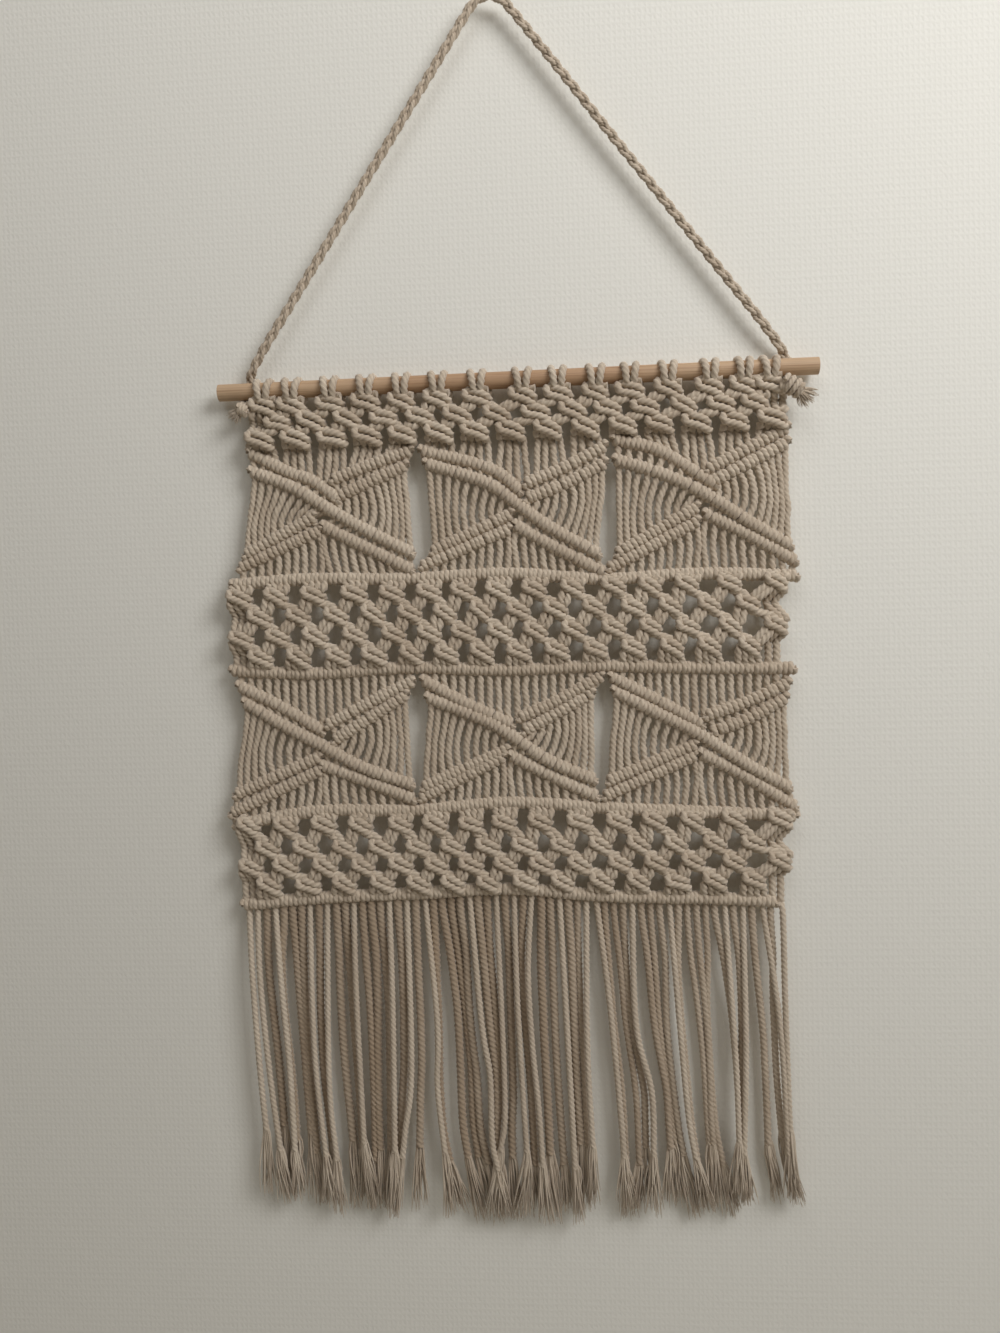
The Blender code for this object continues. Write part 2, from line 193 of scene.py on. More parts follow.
class Sweeper:
    """Turns strands into one mesh, with a Geometry Nodes tree that sweeps a plied section along each."""

    def __init__(self) -> None:
        """Build the node tree once; every piece uses it."""
        tree = bpy.data.node_groups.new("sweep_plied_cord", "GeometryNodeTree")
        face = tree.interface
        face.new_socket("Geometry", in_out="INPUT", socket_type="NodeSocketGeometry")
        kinds = {"Sides": "Int", "Plies": "Int", "Groove": "Float", "Finish": "Material"}
        self.sockets = {
            name: face.new_socket(name, in_out="INPUT", socket_type=f"NodeSocket{kind}").identifier
            for name, kind in kinds.items()
        }
        face.new_socket("Geometry", in_out="OUTPUT", socket_type="NodeSocketGeometry")
        given = add_node(tree, "NodeGroupInput").outputs

        def named(name: str) -> bpy.types.NodeSocket:
            """A number that the strands carry."""
            return add_node(tree, "GeometryNodeInputNamedAttribute", {"Name": name},
                            data_type="FLOAT").outputs["Attribute"]

        cords = add_node(tree, "GeometryNodeMeshToCurve", {"Mesh": given["Geometry"]})
        cords = add_node(tree, "GeometryNodeSetCurveTilt", {"Curve": cords.outputs[0],
                         "Tilt": named("twist")})
        ring = add_node(tree, "GeometryNodeCurvePrimitiveCircle", {"Resolution": given["Sides"],
                        "Radius": 1.0})
        spot = add_node(tree, "GeometryNodeInputPosition").outputs[0]
        ring = add_node(tree, "GeometryNodeStoreNamedAttribute", {"Geometry": ring.outputs[0],
                        "Name": "round", "Value": spot}, data_type="FLOAT_VECTOR")
        factor = add_node(tree, "GeometryNodeSplineParameter").outputs["Factor"]
        angle = add_node(tree, "ShaderNodeMath", {0: factor, 1: 2 * math.pi}, operation="MULTIPLY")
        angle = add_node(tree, "ShaderNodeMath", {0: angle.outputs[0], 1: given["Plies"]},
                         operation="MULTIPLY")
        crest = add_node(tree, "ShaderNodeMath", {0: angle.outputs[0]}, operation="COSINE").outputs[0]
        ring = add_node(tree, "GeometryNodeStoreNamedAttribute", {"Geometry": ring.outputs[0],
                        "Name": "crest", "Value": crest}, data_type="FLOAT")
        base = add_node(tree, "ShaderNodeMath", {0: 1.0, 1: given["Groove"]}, operation="SUBTRACT")
        size = add_node(tree, "ShaderNodeMath", {0: crest, 1: given["Groove"], 2: base.outputs[0]},
                        operation="MULTIPLY_ADD")
        lobed = add_node(tree, "ShaderNodeVectorMath", {0: spot, "Scale": size.outputs[0]}, operation="SCALE")
        ring = add_node(tree, "GeometryNodeSetPosition", {"Geometry": ring.outputs[0],
                        "Position": lobed.outputs[0]})
        tube = add_node(tree, "GeometryNodeCurveToMesh", {"Curve": cords.outputs[0],
                        "Profile Curve": ring.outputs[0], "Scale": named("thickness"), "Fill Caps": True})
        tube = add_node(tree, "GeometryNodeSetShadeSmooth", {"Geometry": tube.outputs[0]})
        tube = add_node(tree, "GeometryNodeRealizeInstances", {"Geometry": tube.outputs[0]})
        tube = add_node(tree, "GeometryNodeSetMaterial", {"Geometry": tube.outputs[0],
                        "Material": given["Finish"]})
        add_node(tree, "NodeGroupOutput", {"Geometry": tube.outputs[0]})
        self.tree = tree

    def piece(self, name: str, strands: Sequence[Strand], section: Section,
              finish: bpy.types.Material) -> bpy.types.Object:
        """Sweep strands into one plain mesh object.

        Args:
            name: The object's name.
            strands: The cords in it.
            section: The section that all of them have.
            finish: Their material.

        Returns:
            The object, with no modifier left on it.
        """
        lines = [s.line for s in strands]
        runs = [run_of(line) for line in lines]
        counts = np.array([len(line) for line in lines])
        mesh = bpy.data.meshes.new(name)
        mesh.vertices.add(int(counts.sum()))
        mesh.vertices.foreach_set("co", (np.vstack(lines) * MM).ravel())
        first = np.arange(counts.sum() - 1)
        first = np.delete(first, np.cumsum(counts)[:-1] - 1)
        mesh.edges.add(len(first))
        mesh.edges.foreach_set("vertices", np.stack([first, first + 1], axis=1).ravel())
        numbers = {
            "thickness": np.concatenate([np.broadcast_to(np.asarray(s.width) / 2 * MM, len(s.line))
                                         for s in strands]),
            "twist": np.concatenate([s.turn - 2 * math.pi * r / s.lay for s, r in zip(strands, runs)]),
            "along": np.concatenate(runs),
            "tone_and_painted_shade": np.repeat([s.tone_and_painted_shade for s in strands], counts),
        }
        for key, values in numbers.items():
            mesh.attributes.new(key, "FLOAT", "POINT").data.foreach_set("value", values.astype(np.float32))
        made = bpy.data.objects.new(name, mesh)
        bpy.context.scene.collection.objects.link(made)
        sweep = made.modifiers.new("sweep", "NODES")
        sweep.node_group = self.tree
        for key, value in zip(self.sockets, (*section.value, finish)):
            sweep[self.sockets[key]] = value
        graph = bpy.context.evaluated_depsgraph_get()
        swept = bpy.data.meshes.new_from_object(made.evaluated_get(graph), preserve_all_data_layers=True,
                                                depsgraph=graph)
        made.modifiers.remove(sweep)
        made.data = swept
        bpy.data.meshes.remove(mesh)
        return made

    def join(self, name: str, groups: Iterable[tuple[Section, Sequence[Strand]]],
             finish: bpy.types.Material) -> bpy.types.Object:
        """Sweep strands of several sections into one object.

        Args:
            name: The object's name.
            groups: Each section with its strands.
            finish: The material of all of them.

        Returns:
            The joined object.
        """
        parts = [self.piece(f"{name}_{i}", strands, section, finish)
                 for i, (section, strands) in enumerate(groups) if strands]
        if len(parts) > 1:
            with bpy.context.temp_override(active_object=parts[0], selected_editable_objects=parts):
                bpy.ops.object.join()
        parts[0].name = name
        return parts[0]


@dataclass(frozen=True)
class CottonCord:
    """Natural unbleached cotton, loosely spun and twisted in three plies: matt, warm, finely streaked, with
    painted shade in the grooves between the plies.
    """

    name: str = "natural_cotton_three_ply"
    light: str = "#DFD1BD"
    dark: str = "#A6927B"
    # The colour of the painted shade in the grooves between the plies.
    painted_groove_shade: str = "#877461"
    yarn_length: float = 9.0
    yarn_width: float = 0.45
    fuzz: float = 0.25

    def build(self) -> bpy.types.Material:
        """Make the material; its streaks follow each cord by the numbers that the sweep stores."""
        material = bpy.data.materials.new(self.name)
        material.use_nodes = True
        tree = material.node_tree
        tree.nodes.clear()

        def stored(name: str) -> bpy.types.Node:
            """A number or place that the sweep stored on the cord."""
            return add_node(tree, "ShaderNodeAttribute", attribute_name=name)

        across = add_node(tree, "ShaderNodeVectorMath", {0: stored("round").outputs["Vector"],
                          1: (CORD / 2 / self.yarn_width,) * 3}, operation="MULTIPLY")
        tone_and_painted_shade = stored("tone_and_painted_shade").outputs["Fac"]
        length = add_node(tree, "ShaderNodeMath", {0: stored("along").outputs["Fac"],
                          1: 1 / self.yarn_length, 2: tone_and_painted_shade}, operation="MULTIPLY_ADD")
        length = add_node(tree, "ShaderNodeCombineXYZ", {"Z": length.outputs[0]})
        where = add_node(tree, "ShaderNodeVectorMath", {0: across.outputs[0], 1: length.outputs[0]},
                         operation="ADD").outputs[0]
        yarn = add_node(tree, "ShaderNodeTexNoise", {"Vector": where, "Scale": 1.0, "Detail": 3.0,
                        "Roughness": 0.6}).outputs["Fac"]
        solid = add_node(tree, "ShaderNodeTexCoord").outputs["Object"]
        patch = add_node(tree, "ShaderNodeTexNoise", {"Vector": solid, "Scale": 35.0, "Detail": 2.0})
        shade = add_node(tree, "ShaderNodeMath", {0: yarn, 1: 0.9, 2: -0.45}, operation="MULTIPLY_ADD")
        # Each strand's lightness number lightens or darkens the body colour: its own random tone, and painted
        # shade on the strands behind the fringe.
        shade = add_node(tree, "ShaderNodeMath", {0: tone_and_painted_shade, 1: 0.6, 2: shade.outputs[0]},
                         operation="MULTIPLY_ADD")
        shade = add_node(tree, "ShaderNodeMath", {0: patch.outputs["Fac"], 1: 0.5, 2: shade.outputs[0]},
                         operation="MULTIPLY_ADD", use_clamp=True)
        body = add_node(tree, "ShaderNodeMix", {"Factor": shade.outputs[0], "A": linear(self.dark),
                        "B": linear(self.light)}, data_type="RGBA")
        # Painted shade: where the crest number falls towards the grooves between the plies, the colour is
        # mixed towards a darker one.
        groove_shade_amount = add_node(tree, "ShaderNodeMapRange", {"Value": stored("crest").outputs["Fac"],
                       "From Min": -1.0, "From Max": 0.2, "To Min": 0.55, "To Max": 0.0})
        colour = add_node(tree, "ShaderNodeMix", {"Factor": groove_shade_amount.outputs[0], "A": body.outputs["Result"],
                          "B": linear(self.painted_groove_shade)}, data_type="RGBA")
        bump = add_node(tree, "ShaderNodeBump", {"Strength": 0.6, "Distance": 0.0004, "Height": yarn})
        surface = add_node(tree, "ShaderNodeBsdfPrincipled", {"Base Color": colour.outputs["Result"],
                           "Roughness": 0.95, "IOR": 1.45, "Specular IOR Level": 0.2,
                           "Sheen Weight": self.fuzz, "Sheen Roughness": 0.6, "Normal": bump.outputs[0]})
        add_node(tree, "ShaderNodeOutputMaterial", {"Surface": surface.outputs[0]})
        return material


@dataclass(frozen=True)
class RodWood:
    """Raw pine dowel, sanded and unvarnished: straight fine grain, redder along its middle."""

    name: str = "raw_pine_dowel"
    pale: str = "#CFB595"
    warm: str = "#B29070"
    line: str = "#8C6442"
    grain_length: float = 60.0
    grain_width: float = 0.9

    def build(self) -> bpy.types.Material:
        """Make the material; its grain runs along X."""
        material = bpy.data.materials.new(self.name)
        material.use_nodes = True
        tree = material.node_tree
        tree.nodes.clear()
        solid = add_node(tree, "ShaderNodeTexCoord").outputs["Object"]
        fine = add_node(tree, "ShaderNodeVectorMath", {0: solid, 1: (1 / (self.grain_length * MM),
                        1 / (self.grain_width * MM), 1 / (self.grain_width * MM))}, operation="MULTIPLY")
        grain = add_node(tree, "ShaderNodeTexNoise", {"Vector": fine.outputs[0], "Scale": 1.0,
                         "Detail": 4.0, "Distortion": 0.4}).outputs["Fac"]
        x = add_node(tree, "ShaderNodeSeparateXYZ", {0: solid}).outputs["X"]
        middle = add_node(tree, "ShaderNodeMath", {0: x}, operation="ABSOLUTE")
        middle = add_node(tree, "ShaderNodeMapRange", {"Value": middle.outputs[0], "From Min": 0.05,
                          "From Max": 0.15, "To Min": 0.8, "To Max": 0.25})
        blotch = add_node(tree, "ShaderNodeTexNoise", {"Vector": solid, "Scale": 28.0, "Detail": 2.0})
        warmth = add_node(tree, "ShaderNodeMath", {0: blotch.outputs["Fac"], 1: 0.5,
                          2: middle.outputs[0]}, operation="MULTIPLY_ADD", use_clamp=True)
        ground = add_node(tree, "ShaderNodeMix", {"Factor": warmth.outputs[0], "A": linear(self.pale),
                          "B": linear(self.warm)}, data_type="RGBA")
        streak = add_node(tree, "ShaderNodeMapRange", {"Value": grain, "From Min": 0.5, "From Max": 0.8,
                          "To Min": 0.0, "To Max": 0.8})
        colour = add_node(tree, "ShaderNodeMix", {"Factor": streak.outputs[0],
                          "A": ground.outputs["Result"], "B": linear(self.line)}, data_type="RGBA")
        bump = add_node(tree, "ShaderNodeBump", {"Strength": 0.25, "Distance": 0.0002, "Height": grain})
        surface = add_node(tree, "ShaderNodeBsdfPrincipled", {"Base Color": colour.outputs["Result"],
                           "Roughness": 0.62, "IOR": 1.5, "Normal": bump.outputs[0]})
        add_node(tree, "ShaderNodeOutputMaterial", {"Surface": surface.outputs[0]})
        return material


@dataclass(frozen=True)
class PaintedBackdrop:
    """Matt emulsion on a fine woven lining paper, seen only from the front."""

    name: str = "matt_painted_lining_paper"
    paint: str = "#E9E7DF"
    thread: tuple[float, float] = (3.6, 4.7)
    relief: float = 0.2

    def build(self) -> bpy.types.Material:
        """Make the material; the weave's threads run across and down."""
        material = bpy.data.materials.new(self.name)
        material.use_nodes = True
        tree = material.node_tree
        tree.nodes.clear()
        solid = add_node(tree, "ShaderNodeTexCoord").outputs["Object"]
        rough = add_node(tree, "ShaderNodeTexNoise", {"Vector": solid, "Scale": 260.0, "Detail": 3.0})
        stray = add_node(tree, "ShaderNodeVectorMath", {0: rough.outputs["Color"], 1: (0.0034,) * 3,
                         2: solid}, operation="MULTIPLY_ADD")
        axes = add_node(tree, "ShaderNodeSeparateXYZ", {0: stray.outputs[0]})
        waves = []
        for axis, pitch in zip("XZ", self.thread):
            turn = add_node(tree, "ShaderNodeMath", {0: axes.outputs[axis],
                            1: 2 * math.pi / (pitch * MM)}, operation="MULTIPLY")
            waves.append(add_node(tree, "ShaderNodeMath", {0: turn.outputs[0]}, operation="SINE"))
        weave = add_node(tree, "ShaderNodeMath", {0: waves[0].outputs[0], 1: waves[1].outputs[0]},
                         operation="MAXIMUM")
        height = add_node(tree, "ShaderNodeMath", {0: rough.outputs["Fac"], 1: 3.0,
                          2: weave.outputs[0]}, operation="MULTIPLY_ADD")
        bump = add_node(tree, "ShaderNodeBump", {"Strength": self.relief, "Distance": 0.0003,
                        "Height": height.outputs[0]})
        paint = add_node(tree, "ShaderNodeBsdfPrincipled", {"Base Color": linear(self.paint),
                         "Roughness": 0.9, "Normal": bump.outputs[0]})
        clear = add_node(tree, "ShaderNodeBsdfTransparent")
        behind = add_node(tree, "ShaderNodeNewGeometry").outputs["Backfacing"]
        both = add_node(tree, "ShaderNodeMixShader", {0: behind, 1: paint.outputs[0],
                        2: clear.outputs[0]})
        add_node(tree, "ShaderNodeOutputMaterial", {"Surface": both.outputs[0]})
        return material


@dataclass
class Bar:
    """A leader cord with a row of double half hitches round it.

    Attributes:
        route: Its points, as x, drop and how far it stands forward.
        pitch: The distance between two wraps.
        seed: What its unevenness starts from.
        reach: How far the leader's ends stand out of the hitches.
        coil_radius: How far the winding's middle is from the leader's.
        wrap: The winding cord's thickness.
        leader: The leader's thickness.
        ease: How much longer a wrap runs square across the front than behind, from 0 to 1.
        steps: The points of one wrap.
        jitter: The unevenness of the wraps' pitch, radius and thickness.
        lay: One full turn of the winding cord's plies, tightened by the winding.
    """

    route: Sequence[Sequence[float]]
    pitch: float
    seed: int
    reach: float = 1.2
    coil_radius: float = 2.55
    wrap: float = 5.0
    leader: float = 4.8
    ease: float = 0.75
    steps: int = 12
    jitter: tuple[float, float, float] = (0.1, 0.16, 0.15)
    lay: float = 9.0
    line: Array = field(init=False)

    def __post_init__(self) -> None:
        """Work out the bar's middle line."""
        points = [place(p[0], -(p[2] if len(p) > 2 else 0.0), p[1]) for p in self.route]
        self.line = smooth(points, 1.0)

    def at(self, share: float) -> Array:
        """The place at a share of the bar's length."""
        run = run_of(self.line)
        return np.array([np.interp(share * run[-1], run, self.line[:, k]) for k in range(3)])

    def at_x(self, x: float) -> Array:
        """The place on the bar at an x."""
        order = np.argsort(self.line[:, 0])
        sorted_line = self.line[order]
        return np.array([x, *(np.interp(x, sorted_line[:, 0], sorted_line[:, k]) for k in (1, 2))])

    def down(self, share: float) -> Array:
        """The direction square to the bar, in the panel's plane and downwards."""
        way = self.at(min(1.0, share + 0.02)) - self.at(max(0.0, share - 0.02))
        square = np.array([way[2], 0.0, -way[0]])
        square /= np.linalg.norm(square)
        return square if square[2] < 0 else -square

    def strands(self) -> list[Strand]:
        """The hitches, as one winding that runs square across the front, and the leader inside it."""
        rng = np.random.default_rng(self.seed)
        run = run_of(self.line)
        turns = max(2, round(run[-1] / self.pitch))
        spots = (np.arange(turns + 1) + rng.normal(0, self.jitter[0], turns + 1)) / turns
        spots[[0, -1]] = 0.0, 1.0
        turn = np.linspace(0, turns, turns * self.steps + 1)
        angle = 2 * math.pi * turn
        eased = turn - self.ease * np.sin(angle) / (2 * math.pi)
        at = np.interp(eased, np.arange(turns + 1), spots) * run[-1]
        middle = np.stack([np.interp(at, run, self.line[:, k]) for k in range(3)], axis=1)
        tangent = np.gradient(self.line, axis=0)
        way = np.stack([np.interp(at, run, tangent[:, k]) for k in range(3)], axis=1)
        way /= np.linalg.norm(way, axis=1)[:, None]
        side = np.cross(way, DEPTH_WAY)
        side /= np.linalg.norm(side, axis=1)[:, None]
        falls = (self.line[-1, 2] - self.line[0, 2]) * (self.line[-1, 0] - self.line[0, 0]) < 0
        hand = 1.0 if falls else -1.0
        radius = self.coil_radius + np.interp(turn, np.arange(turns + 1),
                                              rng.normal(0, self.jitter[1], turns + 1))
        around = hand * np.sin(angle)[:, None] * side - np.cos(angle)[:, None] * DEPTH_WAY
        winding = middle + radius[:, None] * around
        ends = even(np.vstack([self.line[0] - self.reach * way[0], self.line,
                               self.line[-1] + self.reach * way[-1]]), 3.0)
        width = self.wrap + np.interp(turn, np.arange(turns + 1),
                                      rng.normal(0, self.jitter[2], turns + 1))
        return [Strand(winding, width, self.lay, float(rng.uniform(0.4, 0.7)), float(rng.uniform(0, 6))),
                Strand(ends, self.leader, LAY, 0.5)]


class FlatKnot:
    """The way that four cords run through a flat knot of two half knots, in cord widths from its middle.

    The left cord passes in front of the two cores and returns behind them. The right cord passes behind
    them, stands up as the bump at the left and crosses in front to leave at the lower right.
    """

    LEFT = ((-1.55, -0.6, 9), (-1.3, -0.6, 0.95), (-0.9, -0.9, 0.75), (-0.1, -1.15, 0.62),
            (0.7, -1.15, 0.42), (1.35, -0.85, 0.12), (1.65, -0.15, -0.2), (1.2, 0.5, -0.4), (0.3, 0.9, -0.5),
            (-0.6, 0.7, -0.6), (-1.2, -0.2, -0.8), (-1.65, -0.85, -9))
    RIGHT = ((1.55, -0.9, 9), (1.15, -0.8, 1.05), (0.4, 0.1, 0.95), (-0.4, 0.8, 0.85), (-1.15, 0.5, 1.0),
             (-1.65, -0.35, 0.9), (-1.75, -1.15, 0.5), (-1.7, -1.4, 0.05), (-1.35, -1.3, -0.3),
             (-0.7, -1.2, -0.42), (0.1, -1.22, -0.58), (0.85, -1.15, -0.82), (1.45, -0.9, -1.1),
             (1.85, -0.45, -9))
    CORES = (-0.5, 0.5)

    def __init__(self, rng: np.random.Generator, width: float, reach: float, lean: float,
                 tight: tuple[float, float]) -> None:
        """Set a knot's own small turn, size and shift.

        Args:
            rng: The source of its unevenness.
            width: The cord's width.
            reach: How far up and down its cords are led, in cord widths.
            lean: How it is turned on average, in degrees.
            tight: How far its width and height are pulled together.
        """
        self.tight = tight
        self.tilt = math.radians(rng.normal(lean, 4.5))
        self.size = width * (1 + rng.normal(0, 0.03))
        self.shift = rng.normal(0, 0.4, 3) * (1.0, 0.6, 0.8)
        self.reach = reach

    def path(self, slot: int) -> Array:
        """The points of one of the four cords.

        Args:
            slot: Its place in the knot, 0 at the left to 3 at the right.

        Returns:
            Its points, from top to bottom.
        """
        if slot in (1, 2):
            x = self.CORES[slot - 1]
            points = np.array([(x, -0.75, 9), (x, 0, 0.5), (x, 0, -0.5), (x, -0.75, -9)], float)
        else:
            points = np.array(self.LEFT if slot == 0 else self.RIGHT, float)
        points[:, 0] *= self.tight[0]
        points[:, 2] = np.clip(points[:, 2] * self.tight[1], -self.reach, self.reach)
        turned = points.copy()
        turned[:, 0] = points[:, 0] * math.cos(self.tilt) - points[:, 2] * math.sin(self.tilt)
        turned[:, 2] = points[:, 0] * math.sin(self.tilt) + points[:, 2] * math.cos(self.tilt)
        return turned * self.size + self.shift


@dataclass
class NetRow:
    """One row of square knots: its drop, its knots' places and the first cord that it ties."""

    drop: float
    centres: Sequence[float]
    first: int


@dataclass
class KnotNet:
    """A net of alternating square knots over the panel's sixty cords.

    Attributes:
        rows: The rows from the top.
        starts: Where each cord enters.
        ends: Where each cord leaves.
        seed: What its unevenness starts from.
        step: The spacing of the strands' points.
        share: How far up and down a knot leads its cords, as a share of the distance between rows.
        fullness: How thick the cords are, as soft ones bulge in a knot.
        lean: How the knots are turned, in degrees.
        tight: How far a knot's width and height are pulled together.
    """

    rows: Sequence[NetRow]
    starts: Sequence[Array] | None
    ends: Sequence[Array] | None
    seed: int
    step: float = 2.0
    share: float = 0.45
    fullness: float = 1.24
    lean: float = -6.0
    tight: tuple[float, float] = (1.0, 1.0)

    def strands(self) -> list[Strand]:
        """Follow each of the sixty cords through its knots."""
        rng = np.random.default_rng(self.seed)
        pitch = (self.rows[-1].drop - self.rows[0].drop) / (len(self.rows) - 1)
        reach = self.share * pitch / CORD
        knots = [[FlatKnot(rng, CORD, reach, self.lean, self.tight) for _ in row.centres]
                 for row in self.rows]
        made = []
        for cord in range(CORDS):
            parts = [] if self.starts is None else [self.starts[cord][None, :]]
            for row, tied in zip(self.rows, knots):
                number, slot = divmod(cord - row.first, TIED)
                if 0 <= number < len(row.centres):
                    middle = place(row.centres[number], 0, row.drop)
                    parts.append(middle + tied[number].path(slot))
                else:
                    parts.append(self.edge_cord(cord, row))
            if self.ends is not None:
                parts.append(self.ends[cord][None, :])
            made.append(Strand(smooth(np.vstack(parts), self.step), CORD * self.fullness, LAY,
                               float(rng.uniform(0.3, 0.7)), float(rng.uniform(0, 6))))
        return made

    def edge_cord(self, cord: int, row: NetRow) -> Array:
        """The places of an edge cord beside a row that leaves it out."""
        left = cord < TIED // 2
        outer = cord in (0, CORDS - 1)
        gap = (3.9 if outer else 2.75) * CORD
        x = row.centres[0] - gap if left else row.centres[-1] + gap
        return np.array([place(x, 0.6, row.drop - 2.5), place(x, 0.6, row.drop + 2.5)])


@dataclass
class Leaf:
    """A motif of seven hitched bars that cross in its middle, with the loose cords between them.

    Attributes:
        bars: The routes of bars a to g, as x and drop.
        above: Where the twenty cords come from, above its upper bars.
        below: The horizontal bar beneath it.
        seed: What its unevenness starts from.
        pitch: The distance between two wraps of its bars.
        forward: How far bar c stands in front of the bars that it crosses.
        step: The spacing of the loose cords' points.
    """

    bars: Mapping[str, Sequence[tuple[float, float]]]
    above: Sequence[Array]
    below: Bar
    seed: int
    pitch: float = 3.7
    forward: float = 1.4
    step: float = 1.6

    def __post_init__(self) -> None:
        """Lay the bars; bar c passes over the others in the middle."""
        self.made = {}
        for number, (key, route) in enumerate(self.bars.items()):
            stand = [0.0] * len(route)
            if key == "c":
                stand[1:-1] = [self.forward] * (len(route) - 2)
            points = [(x, drop, y) for (x, drop), y in zip(route, stand)]
            self.made[key] = Bar(points, self.pitch, self.seed * 10 + number)

    def hitched(self) -> list[Strand]:
        """All windings and leaders."""
        return [s for bar in self.made.values() for s in bar.strands()]

    def loose(self) -> list[Strand]:
        """The loose cords above, beside and below the crossing, and the short links between paired bars."""
        rng = np.random.default_rng(self.seed)
        bars = self.made
        cross = self.crossing()
        spots = (np.arange(MOTIF // 2) + 0.5) / (MOTIF // 2)
        made: list[Strand] = []

        def hang(start: Array, start_way: Array, end: Array, end_way: Array, pull: float = 0.36) -> None:
            """Add one loose cord."""
            start, end = start + (0, 0.6, 0), end + (0, 0.6, 0)
            points = arc(start, start_way, end, end_way, pull)
            points[1:-1] += rng.normal(0, 0.25, (len(points) - 2, 3))
            made.append(Strand(smooth(points, self.step), CORD * float(rng.uniform(1.03, 1.14)), LAY,
                               float(rng.uniform(0.3, 0.7)), float(rng.uniform(0, 6))))

        def square(bar: str, share: float, i: int) -> Array:
            """The way off a bar: square to it near the crossing, plumb at the outer edge."""
            inward = min(1.0, 0.25 * i)
            turn = inward * bars[bar].down(share) + (1 - inward) * PLUMB
            return turn / np.linalg.norm(turn)

        outer_left, outer_right = bars["a"].at(0.0)[0], bars["b"].at(0.0)[0]
        spread = (outer_right - outer_left) / MOTIF
        for i, spot in enumerate(spots):
            mirrored = 1 - spot
            hang(self.above[i], PLUMB, bars["a"].at_x(outer_left + (i + 0.5) * spread), PLUMB, 0.3)
            hang(self.above[MOTIF - 1 - i], PLUMB, bars["b"].at_x(outer_right - (i + 0.5) * spread),
                 PLUMB, 0.3)
            inner = spot * cross
            outer = 1 - spot * (1 - cross)
            hang(bars["a"].at(spot), PLUMB, bars["c"].at(inner), PLUMB)
            hang(bars["b"].at(spot), PLUMB, bars["d"].at(spot), PLUMB)
            hang(bars["c"].at(inner), square("c", inner, i), bars["e"].at(mirrored),
                 square("e", mirrored, i))
            hang(bars["d"].at(spot), square("d", spot, i), bars["c"].at(outer), square("c", outer, i))
            hang(bars["e"].at(mirrored), PLUMB, bars["f"].at(mirrored), PLUMB)
            hang(bars["c"].at(outer), PLUMB, bars["g"].at(mirrored), PLUMB)
            left, right = bars["f"].at(1.0)[0], bars["g"].at(1.0)[0]
            width = (right - left) / MOTIF
            hang(bars["f"].at(mirrored), square("f", mirrored, i),
                 self.below.at_x(left + (i + 0.5) * width), PLUMB)
            hang(bars["g"].at(mirrored), square("g", mirrored, i),
                 self.below.at_x(right - (i + 0.5) * width), PLUMB)
        return made

    def crossing(self) -> float:
        """The share of bar c's length at which the other bars meet it."""
        middle = (self.made["a"].at(1.0) + self.made["f"].at(0.0)) / 2
        shares = np.linspace(0.2, 0.8, 61)
        away = [float(np.linalg.norm(self.made["c"].at(s) - middle)) for s in shares]
        return float(shares[int(np.argmin(away))])


